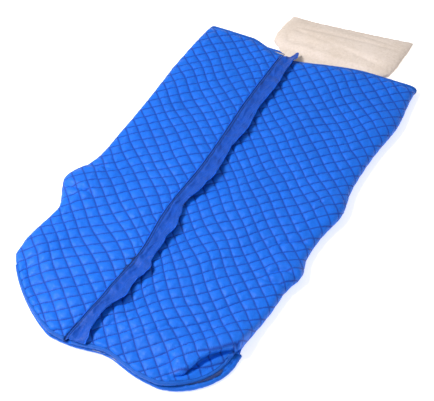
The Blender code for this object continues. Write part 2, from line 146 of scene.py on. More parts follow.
def right_edge(y):
    taper = right_foot_taper * ease((foot_y + right_foot_taper_from_foot - y) / taper_length)
    share = (foot_y + right_corner_along - y) / right_corner_along
    rounding = right_corner_across * corner(share, right_corner_power)
    return right_side + stands_out(y, (right_bulge, *right_waves)) - taper - rounding


def left_hem(x):
    return hem_y + 0.002 - 0.048 * ease((x - seam + 0.17) / 0.15)


def right_hem(x):
    return hem_y + 0.006 - 0.078 * (1 - ease((x - right_tip + 0.05) / 0.42))


def base_hem(x):
    return hem_y - 0.005 + 0 * x


def bow(y):
    """How far the seam and the split swing to the right of their straight lines."""
    main, upper = 0.037 * hump(y, -0.58, 0.20), 0.021 * hump(y, -0.04, 0.28)
    return main + upper + 0.015 * hump(y, -0.84, 0.10)


def droop(x, y):
    at_foot = foot_droop * (1 - ease((y - foot_edge(x) - droop_flat) / droop_run))
    hem = np.where(x < (seam + right_tip) / 2, left_hem(x), right_hem(x))
    return at_foot + 0.009 * (1 - ease((hem - y) / 0.045))


SIDES = {
    "left": (-1, seam, left_fold, left_edge, left_hem, left_under),
    "right": (1, right_tip, right_fold, right_edge, right_hem, right_under),
}


def leaf_foot(side, inset=-0.004):
    """The leaf's foot edge: as the base's, but one corner has lifted and stops short of it."""
    if side == "left":
        return lambda x: foot_edge(x) + inset
    return lambda x: foot_edge(x + 0.021 * ease((x - 0.27) / 0.10)) + inset + 0.006 * ease(
        (x - 0.24) / 0.08
    )


# ---- relief --------------------------------------------------------------------------
def ripple(x, y, seed, length, count=7):
    """Smooth unevenness from -1 to 1, made of waves in many directions."""
    draw = np.random.default_rng(seed)
    total = 0
    for turn, phase, stretch in draw.random((count, 3)):
        k = 2 * math.pi / (length * (0.6 + 0.9 * stretch))
        heading = 2 * math.pi * turn
        total = total + np.sin(
            k * (x * math.cos(heading) + y * math.sin(heading)) + 2 * math.pi * phase
        )
    return total / count * 1.6


def beside(x, y, line):
    """Signed distance to the right of a drawn line, and the share of the line at that place."""
    best = np.full(np.shape(x), 9.0)
    sign, share = np.ones_like(best), np.zeros_like(best)
    pieces = len(line) - 1
    for k, ((ax, ay), (bx, by)) in enumerate(zip(line, line[1:])):
        dx, dy = bx - ax, by - ay
        t = np.clip(((x - ax) * dx + (y - ay) * dy) / (dx * dx + dy * dy), 0, 1)
        gap = np.hypot(x - ax - t * dx, y - ay - t * dy)
        near = gap < best
        best = np.where(near, gap, best)
        sign = np.where(near, np.sign(dy * (x - ax) - dx * (y - ay)), sign)
        share = np.where(near, (k + t) / pieces, share)
    return best * sign, share


# Where the lifted foot corner doubles over, from the foot edge to the right side.
corner_fold = (
    (0.296, -1.006), (0.328, -0.970), (0.342, -0.932), (0.357, -0.893), (0.380, -0.860),
    (0.414, -0.822), (0.458, -0.782),
)
# Sharp creases: line, depth, half width.
creases = (
    (((0.470, -0.395), (0.430, -0.420), (0.392, -0.455)), 0.0055, 0.0090),
    (((0.470, -0.455), (0.430, -0.480), (0.385, -0.490)), 0.0045, 0.0090),
    (((0.500, 0.020), (0.440, -0.030), (0.370, -0.060)), 0.0035, 0.0120),
    (((0.490, -0.235), (0.410, -0.260), (0.320, -0.330)), 0.0045, 0.0120),
    (((-0.480, -0.400), (-0.410, -0.375), (-0.340, -0.395)), 0.0060, 0.0110),
    (((-0.490, -0.225), (-0.420, -0.240), (-0.340, -0.205)), 0.0040, 0.0130),
    (((0.120, -0.905), (0.170, -0.860), (0.210, -0.800)), 0.0045, 0.0100),
    (((0.020, -0.900), (0.050, -0.840), (0.110, -0.790)), 0.0035, 0.0120),
)


def billows(x, y):
    """How far the top lies above its lowest level."""
    from_hem = hem_y - y
    quiet = 0.45 + 0.55 * ease(np.abs(x - seam - 0.02) / 0.10)
    lift = 0.0042 * (1 + ripple(x, y, 5, 0.34)) + 0.0016 * (1 + ripple(x, y, 8, 0.15))
    lift = lift * quiet * (0.35 + 0.65 * ease(from_hem / 0.10))
    lift += 0.013 * hump(y, foot_y + 0.708, 0.075) * ease((-0.24 - x) / 0.20)
    lift += 0.006 * hump(y, foot_y + 0.34, 0.10) * ease((-0.26 - x) / 0.16)
    lift += 0.009 * hump(y, foot_y + 0.993, 0.10) * ease((x - 0.26) / 0.22)
    lift += 0.012 * hump(y, foot_y + 0.647, 0.050) * ease((x - 0.34) / 0.13)
    lift += 0.006 * hump(y, foot_y + 1.54, 0.14) * ease((x - 0.28) / 0.20)
    lift += 0.007 * hump(x, 0.22, 0.11) * hump(y, -0.88, 0.09)
    lift += 0.005 * hump(x, -0.20, 0.07) * hump(y, -0.86, 0.08)
    gap, share = beside(x, y, corner_fold)
    whole, side_gap = ease(share / 0.25), np.where(share > 0.01, gap, -1.0)
    swell = np.where(gap < 0, hump(gap, -0.020, 0.060), hump(0.0, -0.020, 0.060))
    lift += whole * 0.019 * swell
    lift -= whole * (0.031 * ease(gap / 0.0085) - 0.0105 * ease((gap - 0.008) / 0.014))
    lift -= whole * 0.008 * ease((gap - 0.022) / 0.02)
    for line, depth, width in creases:
        gap, share = beside(x, y, line)
        ends = ease(6 * (1 - share))
        banks = 0.75 * hump(np.abs(gap), 1.9 * width, width)
        lift += depth * ends * (banks - hump(gap, 0, 0.6 * width))
    return np.maximum(lift, np.where(side_gap > -0.002, -0.0110, -0.0012))


def leaf_level(x, y):
    return skin_valley - droop(x, y) + billows(x, y)


def under_fold(x, y):
    """How much lower the inner layers lie where the corner's fold hangs over."""
    gap, share = beside(x, y, corner_fold)
    return 0.022 * ease(share / 0.15) * hump(gap, 0.006, 0.018)


def inner_level(x, y):
    level = lining_level - droop(x, y) - 0.0011 * (1 + ripple(x, y, 14, 0.11))
    level = np.minimum(level, leaf_level(x, y) - 0.0050) - under_fold(x, y)
    return np.maximum(level, base_top + 0.0010)


# ---- mesh tools ----------------------------------------------------------------------
def link(name, mesh):
    made = bpy.data.objects.new(name, mesh)
    bpy.context.scene.collection.objects.link(made)
    return made


def mesh_piece(name, points, faces, cloth=None, smooth=True, merge=0.0):
    """An object from points and faces; cloth holds each point's place on the flat cloth."""
    mesh = bpy.data.meshes.new(name)
    mesh.from_pydata(np.asarray(points, float).reshape(-1, 3).tolist(), [], faces)
    if cloth is not None:
        places = mesh.attributes.new("cloth", "FLOAT_VECTOR", "POINT")
        places.data.foreach_set("vector", np.asarray(cloth, np.float32).ravel())
    if merge:
        tidy = bmesh.new()
        tidy.from_mesh(mesh)
        bmesh.ops.remove_doubles(tidy, verts=tidy.verts, dist=merge)
        bmesh.ops.dissolve_degenerate(tidy, edges=tidy.edges, dist=merge)
        loose = [vert for vert in tidy.verts if not vert.link_faces]
        bmesh.ops.delete(tidy, geom=loose, context="VERTS")
        tidy.to_mesh(mesh)
        tidy.free()
    mesh.validate()
    for face in mesh.polygons:
        face.use_smooth = smooth
    return link(name, mesh)


def grid_faces(columns, rows, offset=0, split=None, flip=False):
    """Faces of a grid; split(i, j) says which way a face is divided: 1, -1 or 0."""
    faces = []
    for i in range(columns - 1):
        for j in range(rows - 1):
            a = offset + i * rows + j
            b, c, d = a + rows, a + rows + 1, a + 1
            way = split(i, j) if split else 0
            if way > 0:
                found = [(a, b, c), (a, c, d)]
            elif way < 0:
                found = [(a, b, d), (b, c, d)]
            else:
                found = [(a, b, c, d)]
            faces += [face[::-1] for face in found] if flip else found
    return faces


def normals_of(grid):
    across = np.gradient(grid, axis=0)
    along = np.gradient(grid, axis=1)
    normal = np.cross(across, along)
    size = np.linalg.norm(normal, axis=2, keepdims=True)
    return np.where(size > 1e-12, normal / np.maximum(size, 1e-12), (0.0, 0.0, 1.0))


def face_outward(made):
    shape = bmesh.new()
    shape.from_mesh(made.data)
    bmesh.ops.recalc_face_normals(shape, faces=shape.faces)
    shape.to_mesh(made.data)
    shape.free()


def unit(vector):
    return vector / np.maximum(np.linalg.norm(vector, axis=-1, keepdims=True), 1e-12)


def sweep(name, path, outward, normal, section, closed=True, wobble=0.0, seed=1):
    """A strip along a path; each section point is (outward, up along the normal)."""
    path = np.asarray(path, float)
    outward = np.broadcast_to(np.asarray(outward, float), path.shape)
    normal = np.broadcast_to(np.asarray(normal, float), path.shape)
    run = np.concatenate([[0], np.cumsum(np.linalg.norm(np.diff(path, axis=0), axis=1))])
    draw = np.random.default_rng(seed)
    phases = draw.random((3, 2)) * 2 * math.pi
    waves = sum(
        np.sin(run * 2 * math.pi / length + phase[0])
        for length, phase in zip((0.021, 0.034, 0.057), phases)
    )
    points, cloth = [], []
    girth = 0.0
    last = None
    for out, up in section:
        girth += 0 if last is None else math.dist(last, (out, up))
        last = (out, up)
        height = up + (wobble * waves if up > 0.002 else 0 * waves)
        points.append(path + outward * out + normal * height[:, None])
        cloth.append(np.stack([run, np.full_like(run, girth), 0 * run], axis=1))
    count, length = len(section), len(path)
    faces = []
    for i in range(count if closed else count - 1):
        k = (i + 1) % count
        for j in range(length - 1):
            faces.append((i * length + j, i * length + j + 1, k * length + j + 1, k * length + j))
    if closed:
        faces.append([i * length for i in range(count)])
        faces.append([i * length + length - 1 for i in reversed(range(count))])
    made = mesh_piece(name, np.concatenate(points), faces, np.concatenate(cloth))
    face_outward(made)
    return made


def round_section(radius, sides=8):
    turns = [2 * math.pi * i / sides for i in range(sides)]
    return [(radius * math.cos(turn), radius * math.sin(turn)) for turn in turns]


def strip_section(half, low, high, edge=0.0006):
    """A flat tape's section with soft edges."""
    return [
        (-half, low + edge), (-half + edge, low), (half - edge, low), (half, low + edge),
        (half, high - edge), (half - edge, high), (-half + edge, high), (-half, high - edge),
    ]


def along_run(path, spacing):
    """The path taken again at an even spacing."""
    path = np.asarray(path, float)
    run = np.concatenate([[0], np.cumsum(np.linalg.norm(np.diff(path, axis=0), axis=1))])
    wanted = np.arange(0, run[-1], spacing)
    return np.stack([np.interp(wanted, run, path[:, k]) for k in range(3)], axis=1)


def stitch_row(name, path, spacing=0.0062, length=0.0046, radius=0.00055):
    """Separate raised stitches in a row along a path, as one piece."""
    path = np.asarray(path, float)
    centres = along_run(path, spacing)
    headings = unit(np.gradient(centres, axis=0))
    points, faces, cloth = [], [], []
    shape = ((-0.5, 0.15), (-0.32, 0.85), (0.0, 1.0), (0.32, 0.85), (0.5, 0.15))
    for n, (centre, heading) in enumerate(zip(centres, headings)):
        side = unit(np.cross(heading, (0.0, 0.0, 1.0)))
        up = np.cross(side, heading)
        first = len(points)
        for share, thick in shape:
            for k in range(6):
                turn = math.pi * k / 3
                round_it = side * math.cos(turn) + up * math.sin(turn)
                points.append(centre + heading * share * length + round_it * radius * thick)
                cloth.append((share * length + n * spacing, radius * turn, 0))
        for ring in range(len(shape) - 1):
            for k in range(6):
                a, b = first + ring * 6 + k, first + ring * 6 + (k + 1) % 6
                faces.append((a, b, b + 6, a + 6))
        faces.append([first + k for k in reversed(range(6))])
        faces.append([first + 6 * (len(shape) - 1) + k for k in range(6)])
    return mesh_piece(name, points, faces, cloth)


# ---- cloth simulation ----------------------------------------------------------------
def relax(made, pressure, growth, frames, pinned=None, bending=0.05, stiffness=12.0, mass=0.12):
    """Runs Blender's cloth on the piece and keeps the shape that it reaches."""
    scene = bpy.context.scene
    cloth = made.modifiers.new("cloth", "CLOTH")
    held = cloth.settings
    held.quality = 6
    held.mass = mass
    held.tension_stiffness = held.compression_stiffness = stiffness
    held.shear_stiffness = stiffness / 2
    held.bending_stiffness = bending
    held.air_damping = 2.0
    held.shrink_min = held.shrink_max = -growth
    held.use_pressure = pressure != 0
    held.uniform_pressure_force = pressure
    held.effector_weights.gravity = 0
    if pinned:
        held.vertex_group_mass = pinned
    cloth.collision_settings.use_collision = False
    cloth.point_cache.frame_start, cloth.point_cache.frame_end = 1, frames
    for step in range(1, frames + 1):
        scene.frame_set(step)
    shown = made.evaluated_get(bpy.context.evaluated_depsgraph_get())
    reached = np.zeros(len(made.data.vertices) * 3, np.float32)
    shown.data.vertices.foreach_get("co", reached)
    made.modifiers.remove(cloth)
    scene.frame_set(1)
    return reached.reshape(-1, 3).astype(float)


patch_cells = 6


def quilt_patch(settings):
    """A small patch of quilted cloth, held at its stitch lines and pushed up by its wadding.

    Gives the moves of its points: two along the cloth, across the cells, and one off it."""
    steps = settings.cell_steps
    count = patch_cells * steps + 1
    pitch = settings.cell_side / steps
    line = np.arange(count)
    a, b = np.meshgrid(line, line, indexing="ij")
    fa, fb = a % steps / steps, b % steps / steps
    crown = (4 * fa * (1 - fa) * 4 * fb * (1 - fb)) ** 0.45
    draw = np.random.default_rng(4)
    start = np.stack([a * pitch, b * pitch, 0.0022 * crown], axis=2)
    start[:, :, 2] += crown * 0.0004 * draw.standard_normal(a.shape)
    patch = mesh_piece("quilt_patch", start, grid_faces(count, count))
    held = patch.vertex_groups.new(name="stitched")
    on_line = np.flatnonzero(((a % steps == 0) | (b % steps == 0)).ravel())
    held.add([int(i) for i in on_line], 1.0, "REPLACE")
    reached = relax(patch, 7.0, 0.055, 22, pinned="stitched", bending=0.02, stiffness=14.0)
    bpy.data.objects.remove(patch)
    moved = reached.reshape(count, count, 3) - np.stack([a * pitch, b * pitch, 0 * fa], axis=2)
    tall = np.percentile(moved[:, :, 2], 97)
    moved[:, :, 2] *= settings.puff_height / max(tall, 1e-6)
    moved[:, :, 2] = 0.5 * moved[:, :, 2] + 0.5 * settings.puff_height * crown
    moved[:, :, :2] = np.clip(moved[:, :, :2], -0.0022, 0.0022)
    return moved


def cell_moves(patch, settings, across, along):
    """The patch's moves for lattice points (whole numbers), each cell drawn from another one."""
    steps = settings.cell_steps
    cell_a, cell_b = across // steps, along // steps
    draw = np.random.default_rng(11)
    choice = draw.integers(0, patch_cells, (257, 2))
    flips = draw.integers(0, 2, (257, 3))
    key = (cell_a * 31 + cell_b * 17 + cell_a * cell_b * 7) % 257
    la, lb = across % steps, along % steps
    flip_a, flip_b, turned = flips[key, 0], flips[key, 1], flips[key, 2]
    la2 = np.where(flip_a == 1, steps - la, la)
    lb2 = np.where(flip_b == 1, steps - lb, lb)
    ta = np.where(turned == 1, lb2, la2) + choice[key, 0] * steps
    tb = np.where(turned == 1, la2, lb2) + choice[key, 1] * steps
    moves = patch[ta, tb]
    ma = np.where(turned == 1, moves[..., 1], moves[..., 0]) * np.where(flip_a == 1, -1, 1)
    mb = np.where(turned == 1, moves[..., 0], moves[..., 1]) * np.where(flip_b == 1, -1, 1)
    return ma, mb, moves[..., 2]


# ---- the shell -----------------------------------------------------------------------
def roll_start(side):
    """The first y at which the side stands out from the fold line."""
    sign, _, fold, edge, _, _ = SIDES[side]
    y = float(foot_edge(np.array(fold)))
    while sign * (float(edge(np.array(y))) - fold) < 0.004:
        y += 0.0005
    return y if side == "left" else max(y, -0.800)


def side_profile(side, y, top, low, margin):
    """Points of the turn from the leaf, round the side, to the underside, for one y."""
    sign, _, fold, edge, _, _ = SIDES[side]
    reach = max(sign * (float(edge(np.array(y))) - fold) - margin, 0.0015)
    turns = np.linspace(0, math.pi, 41)
    out = reach * np.abs(np.sin(turns)) ** 0.8
    high = (top + low) / 2 + (top - low) / 2 * np.cos(turns)
    run = np.concatenate([[0], np.cumsum(np.hypot(np.diff(out), np.diff(high)))])
    return run, out, high


def overhang(x, y):
    """Pulls the corner's fold out over the cloth below it, and that cloth in under the fold."""
    gap, share = beside(x, y, corner_fold)
    step = 0.001
    toward = np.stack([beside(x + step, y, corner_fold)[0] - gap,
                       beside(x, y + step, corner_fold)[0] - gap]) / step
    toward = np.clip(toward, -1, 1)
    whole = ease(share / 0.2) * ease((1 - share) / 0.04)
    shift = whole * (0.011 * hump(gap, -0.001, 0.0075) - 0.013 * hump(gap, 0.0105, 0.0055))
    return x + toward[0] * shift, y + toward[1] * shift


def wrapped_grid(side, columns, rows, level, low, margin, foot, warp=0.0, late=0.0):
    """Places a cloth that covers a leaf, turns round the side and runs in under the base.

    Gives the places, the flat cloth coordinates, and each point's distance to the edges."""
    sign, start, fold, _, hem, under = SIDES[side]
    u, v = np.meshgrid(columns, rows, indexing="ij")
    u, v = u.copy(), v.copy()
    past = sign * (u - fold) > 0
    head = float(hem(np.array(fold)))
    first = roll_start(side) + late
    near_seam = 1 - ease(np.abs(u - start) / 0.22)
    x_flat = np.where(past, fold, u + bow(v) * near_seam)
    wanted = v
    for _ in range(6):
        within = np.clip(wanted, foot(x_flat), hem(x_flat))
        v = np.where(past, np.clip(wanted, first, head), within)
        x_flat = np.where(past, fold, u + bow(v) * near_seam)
    x, z = x_flat.copy(), level(x_flat, v)
    slope = np.abs(foot(x_flat + 0.002) - foot(x_flat - 0.002)) / 0.004
    from_foot = (v - foot(x_flat)) / np.sqrt(1 + slope**2)
    from_hem = hem(x_flat) - v
    from_start = np.where(past, 1.0, np.abs(u - start))
    from_foot = np.where(past, np.minimum(v - first + 0.004, 1.0), from_foot)
    outer = np.flatnonzero(past[:, 0])
    for j in range(v.shape[1]):
        y = v[outer[0], j]
        top = float(level(np.array(fold), np.array(y)))
        run, out, high = side_profile(side, y, top, low, margin)
        q = sign * (u[outer, j] - fold)
        beyond = np.maximum(q - run[-1], 0)
        limit = abs(under - fold)
        u[outer, j] = fold + sign * np.minimum(q, run[-1] + limit)
        x[outer, j] = fold + sign * (np.interp(q, run, out) - np.minimum(beyond, limit))
        z[outer, j] = np.interp(q, run, high)
        closed = 1 - float(ease((y - first) / 0.016))
        middle = low + 0.35 * (top - low)
        z[outer, j] += (middle - z[outer, j]) * 0.92 * closed
    if warp:
        calm = ease(from_foot / 0.05) * ease(from_hem / 0.05) * ease(from_start / 0.05)
        calm = calm * np.where(past, 0, ease(sign * (fold - x_flat) / 0.05))
        x = x + warp * calm * ripple(u, v, 31, 0.26)
        v2 = v + warp * calm * ripple(u, v, 32, 0.24)
        if side == "right":
            x, v2 = overhang(x, v2)
    else:
        v2 = v
    return np.stack([x, v2, z], axis=2), u, v, past, from_foot, from_hem, from_start


def quilt_columns(side, pitch):
    sign, start, fold, _, _, under = SIDES[side]
    last = fold + sign * (abs(under - fold) + 0.24)
    low, high = sorted((start, last))
    inner = np.arange(math.ceil(low / pitch + 0.1), math.floor(high / pitch - 0.1) + 1)
    index = [math.floor(low / pitch), *inner, math.ceil(high / pitch)]
    places = np.array([low, *(inner * pitch), high])
    return places, np.array(index)


def quilt_rows(pitch):
    low, high = foot_y - 0.002, hem_y + 0.040
    index = np.arange(math.floor(low / pitch), math.ceil(high / pitch) + 1)
    return index * pitch, index


def lattice_split(index_u, index_v, steps):
    def way(i, j):
        if (index_u[i] - index_v[j]) % steps == 0:
            return 1
        if (index_u[i] + 1 + index_v[j]) % steps == 0:
            return -1
        return 0

    return way


def edge_fall(distance, reach, fall):
    """A rounded fall over the last stretch before an edge."""
    share = np.clip(1 - distance / reach, 0, 1)
    return fall * (1 - np.sqrt(1 - share**2 * 0.97))


def build_top_quilt(side, patch, settings):
    steps = settings.cell_steps
    pitch = settings.cell_side * math.sqrt(2) / steps
    columns, index_u = quilt_columns(side, pitch)
    rows, index_v = quilt_rows(pitch)
    foot = leaf_foot(side)
    found = wrapped_grid(
        side, columns, rows, leaf_level, under_valley, turn_margin, foot, warp=0.0075
    )
    grid, u, v, past, from_foot, from_hem, from_start = found
    du = unit(np.gradient(grid, axis=0))
    dv = unit(np.gradient(grid, axis=1))
    normal = normals_of(grid)
    # Rows past an edge are gathered onto it, where a normal can't be worked out.
    gathered = ~past & ((from_foot < 1e-4) | (from_hem < 1e-4))
    normal[gathered] = (0.0, 0.0, 1.0)
    a = index_u[:, None] + index_v[None, :]
    b = index_u[:, None] - index_v[None, :]
    ma, mb, mh = cell_moves(patch, settings, a, b)
    calm = ease(from_foot / 0.014) * ease((from_hem - 0.010) / 0.016) * ease(from_start / 0.012)
    sign, start, fold = SIDES[side][:3]
    calm = calm * (1 - 0.78 * ease((sign * (u - fold) + 0.030) / 0.035))
    if side == "right":
        gap, share = beside(u, v, corner_fold)
        near_fold = np.where(share > 0.01, hump(np.minimum(gap, 0.004), 0.004, 0.022), 0)
        calm = calm * (1 - 0.85 * near_fold)
        calm = calm * (0.45 + 0.55 * ease((u - start - 0.050) / 0.025))
    half = math.sqrt(0.5)
    grid = grid + (du * ((ma + mb) * half * calm)[..., None])
    grid = grid + (dv * ((ma - mb) * half * calm)[..., None])
    gathers = 0.0014 * hump(from_start, 0.016, 0.016) * ripple(v, 0.2 * u, 42, 0.015, 9)
    fine = 0.0004 * ripple(u, v, 41, 0.021, 12) + gathers * ease(from_foot / 0.03)
    grid = grid + normal * ((mh + fine) * calm)[..., None]
    fall = edge_fall(from_foot, 0.020, 0.0170) + edge_fall(from_start, 0.016, 0.0060)
    fall = fall + edge_fall(from_hem, 0.006, 0.0015)
    grid = grid - normal * np.where(past, 0, fall)[..., None]
    grid[:, :, 2] = np.maximum(grid[:, :, 2], 0.0004)
    cloth = np.stack([u, v, 0 * u], axis=2)
    lip = grid[0 if side == "right" else -1].copy()
    lip[:, 2] = inner_level(lip[:, 0], lip[:, 1])
    lip_cloth = cloth[0 if side == "right" else -1]
    if side == "right":
        grid, cloth = np.concatenate([lip[None], grid]), np.concatenate([lip_cloth[None], cloth])
        index_u = np.concatenate([[index_u[0] - 1], index_u])
    else:
        grid, cloth = np.concatenate([grid, lip[None]]), np.concatenate([cloth, lip_cloth[None]])
        index_u = np.concatenate([index_u, [index_u[-1] + 1]])
    way = lattice_split(index_u, index_v, steps)
    faces = grid_faces(len(grid), len(rows), split=way)
    made = mesh_piece(side + "_top_quilt", grid, faces, cloth.reshape(-1, 3), merge=weld)
    return made


def blend_side(made, side):
    if side == "left":
        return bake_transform(made)
    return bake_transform(made)


def build_shell(settings):
    patch = quilt_patch(settings)
    for side in ("left", "right"):
        made = build_top_quilt(side, patch, settings)
        dress(made, "quilted_nylon")
        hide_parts(side + "_outer_quilt", side + "_side_fold")
        blend_side(made, side)


def build_underside(settings):
    """The base's outer quilt: flat on the floor, with its stitch lines drawn up."""
    pitch = settings.cell_side * math.sqrt(2) / 8
    columns = np.concatenate([[left_under], np.arange(left_under + pitch, right_under, pitch)])
    columns = np.append(columns, right_under)
    left = np.arange(left_fold + 0.002, left_under - pitch / 2, pitch)
    right = np.arange(right_under + pitch, right_fold - 0.002, pitch)
    columns = np.concatenate([left, columns, right])
    rows = np.arange(foot_y, hem_y + pitch, pitch)
    u, v = np.meshgrid(columns, rows, indexing="ij")
    v = np.clip(v, foot_edge(u) + 0.003, base_hem(u) - 0.001)
    diagonal = settings.cell_side * math.sqrt(2)
    a, b = (u + v) / diagonal, (u - v) / diagonal
    crown = (np.abs(np.sin(math.pi * a)) * np.abs(np.sin(math.pi * b))) ** 0.6
    edge = np.minimum(ease((v - foot_edge(u)) / 0.02), ease((base_hem(u) - v) / 0.02))
    z = 0.0006 + 0.0040 * (1 - crown * edge)
    grid = np.stack([u, v, z], axis=2)
    faces = grid_faces(len(columns), len(rows), flip=True)
    cloth = np.stack([u, v, 0 * u], axis=2).reshape(-1, 3)
    made = mesh_piece("base_underside_quilt", grid, faces, cloth, merge=weld)
    settle(made, "quilted_nylon", "base", "base_outer_quilt")


# ---- linings -------------------------------------------------------------------------
def build_leaf_lining(side):
    sign, start, fold = SIDES[side][:3]
    pitch = 0.0085
    last = fold + sign * 0.22
    columns = np.sort(np.append(np.arange(start, last, sign * pitch), last))
    rows = np.arange(foot_y - pitch, hem_y + 0.04, pitch)
    foot = leaf_foot(side, 0.014)
    low = base_top + 0.0006
    found = wrapped_grid(side, columns, rows, inner_level, low, 0.0125, foot, late=0.024)
    grid, u, v, past, *_ = found
    inside = np.abs(grid[:, :, 0]) < abs(fold) - 0.012
    grid[:, :, 0] = np.where(past & inside, sign * (abs(fold) - 0.012), grid[:, :, 0])
    cloth = np.stack([u, v, 0 * u], axis=2).reshape(-1, 3)
    faces = grid_faces(len(columns), len(rows), flip=True)
    made = mesh_piece(side + "_inner_lining", grid, faces, cloth, merge=weld)
    dress(made, "beige_lining")
    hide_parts(side + "_lining")
    blend_side(made, side)


def build_base_lining():
    pitch = 0.0085
    low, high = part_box("inlet_housing")
    columns = np.arange(left_fold + 0.001, right_fold, pitch)
    columns = np.sort(np.concatenate([columns, [low.x - 0.0015, high.x + 0.0015]]))
    rows = np.arange(foot_y, hem_y, pitch)
    rows = np.sort(np.concatenate([rows, [low.y - 0.0015, high.y + 0.0015]]))
    u, v = np.meshgrid(columns, rows, indexing="ij")
    v = np.clip(v, foot_edge(u) + 0.034, base_hem(u) - 0.0005)
    calm = ease((v - foot_edge(u) - 0.05) / 0.05) * ease((base_hem(u) - v) / 0.03)
    wrinkle = 0.5 + 0.5 * ripple(u, v, 17, 0.10)
    z = base_lining_level - 0.0002 + 0.0014 * calm * np.abs(wrinkle) ** 1.5
    z = z - 0.0022 * (1 - ease((v - foot_edge(u) - 0.060) / 0.020))
    near_box = (u > low.x - 0.012) & (u < high.x + 0.012) & (v > low.y - 0.012)
    z = np.where(near_box, base_lining_level, z)
    faces = []
    for i in range(len(columns) - 1):
        for j in range(len(rows) - 1):
            middle_x = (columns[i] + columns[i + 1]) / 2
            middle_y = (v[i, j] + v[i, j + 1]) / 2
            in_x = low.x - 0.001 < middle_x < high.x + 0.001
            if in_x and low.y - 0.001 < middle_y < high.y + 0.001:
                continue
            a = i * len(rows) + j
            faces.append((a, a + len(rows), a + len(rows) + 1, a + 1))
    grid = np.stack([u, v, z], axis=2)
    cloth = np.stack([u, v, 0 * u], axis=2).reshape(-1, 3)
    made = mesh_piece("base_inner_lining", grid, faces, cloth, merge=weld)
    settle(made, "beige_lining", "base", "base_lining")
    ring = [(low.x - 0.0012, high.y + 0.0012), (low.x - 0.0012, low.y - 0.0012)]
    ring += [(high.x + 0.0012, low.y - 0.0012), (high.x + 0.0012, high.y + 0.0012)]
    path = [(x, y, base_lining_level + 0.0006) for x, y in ring]
    dense = along_run(path, 0.004)
    trim = sweep("inlet_window_trim", dense, (0, 0, 1), (1, 0, 0), round_section(0.0008, 8))
    settle(trim, "binding_nylon", "base")


def build_heater_cloth(side):
    """A leaf's heater carrier, cut to the leaf's own edges."""
    sign, start, fold, _, hem, _ = SIDES[side]
    columns = np.linspace(*sorted((start + sign * 0.003, fold - sign * 0.002)), 64)
    rows = np.linspace(foot_y, hem_y + 0.04, 150)
    u, v = np.meshgrid(columns, rows, indexing="ij")
    foot = leaf_foot(side)
    slope = np.abs(foot(u + 0.002) - foot(u - 0.002)) / 0.004
    v = np.clip(v, foot(u) + 0.018 * np.sqrt(1 + slope**2), hem(u) - 0.006)
    u = u + bow(v) * (1 - ease(np.abs(u - start) / 0.22))
    level = np.minimum(0.0376 - droop(u, v), leaf_level(u, v) - 0.0030) - under_fold(u, v)
    grid = np.stack([u, v, np.maximum(level, base_top + 0.0022)], axis=2)
    cloth = np.stack([u, v, 0 * u], axis=2).reshape(-1, 3)
    made = mesh_piece(side + "_heater_cloth", grid, grid_faces(64, 150), cloth, merge=weld)
    settle(made, "glass_cloth", side + "_leaf", side + "_heater_carrier")


# ---- edges ---------------------------------------------------------------------------
hem_section = (
    (-0.0165, 0.0012), (-0.0162, 0.0023), (-0.012, 0.0030), (-0.006, 0.0034), (-0.0015, 0.0027),
    (0.0010, 0.0006), (0.0015, -0.0030), (0.0008, -0.0065), (-0.002, -0.0086), (-0.012, -0.0088),
    (-0.0122, -0.0078), (-0.003, -0.0074), (-0.0006, -0.0058), (-0.0002, -0.0030),
    (-0.002, 0.0008),
)


def hem_path(side):
    """Points and outer normals along a leaf's head hem, round its side and under it."""
    sign, start, fold, _, hem, _ = SIDES[side]
    pitch = 0.004
    length = abs(fold - start) + 0.30
    columns = start + sign * np.arange(0, length, pitch)
    order = np.argsort(columns)
    top = float(np.max(hem(columns))) + 0.01
    rows = np.array([top - 0.002, top])
    columns = columns[order]
    found = wrapped_grid(side, columns, rows, leaf_level, under_valley, turn_margin, foot_edge)
    path = found[0][:, 1]
    apart = np.linalg.norm(np.diff(path, axis=0), axis=1) > 1e-4
    if sign > 0:
        path = path[np.concatenate([[True], apart])]
    else:
        path = path[np.concatenate([apart, [True]])][::-1]
    heading = unit(np.gradient(path, axis=0))
    normal = unit(np.cross(heading, (0.0, 1.0, 0.0))) * sign
    return path, normal


def build_hems():
    for side in ("left", "right"):
        path, normal = hem_path(side)
        made = sweep(side + "_head_hem", path, (0, 1, 0), normal, hem_section, wobble=0.00025)
        dress(made, "binding_nylon")
        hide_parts(side + "_head_binding")
        blend_side(made, side)
        row = path + np.array([0, -0.0132, 0]) + normal * 0.0034
        threads = stitch_row(side + "_hem_stitches", row)
        dress(threads, "thread")
        blend_side(threads, side)
    x = np.arange(left_fold + 0.001, right_fold, 0.006)
    path = np.stack([x, base_hem(x), 0 * x], axis=1)
    section = (
        (-0.012, 0.0183), (-0.012, 0.0192), (-0.003, 0.0196), (0.0004, 0.0190), (0.0014, 0.0165),
        (0.0015, 0.0095), (0.0013, 0.0025), (0.0004, 0.0004), (-0.008, 0.0003), (-0.008, 0.0011),
        (-0.0002, 0.0014), (0.0004, 0.0030), (0.0004, 0.0160), (-0.001, 0.0180),
    )
    made = sweep("base_head_hem", path, (0, 1, 0), (0, 0, 1), section, wobble=0.0)
    settle(made, "binding_nylon", "base", "base_head_binding")


def foot_path(start, end, foot, height, inset=0.0, spacing=0.006):
    """Points along a foot edge, and the directions that point out of it."""
    x = np.linspace(start, end, 700)
    path = along_run(np.stack([x, foot(x), 0 * x], axis=1), spacing)
    heading = unit(np.gradient(path, axis=0))
    outward = np.cross(heading, (0.0, 0.0, 1.0))
    path = path - outward * inset
    path[:, 2] = height(path[:, 0], path[:, 1])
    return path, outward


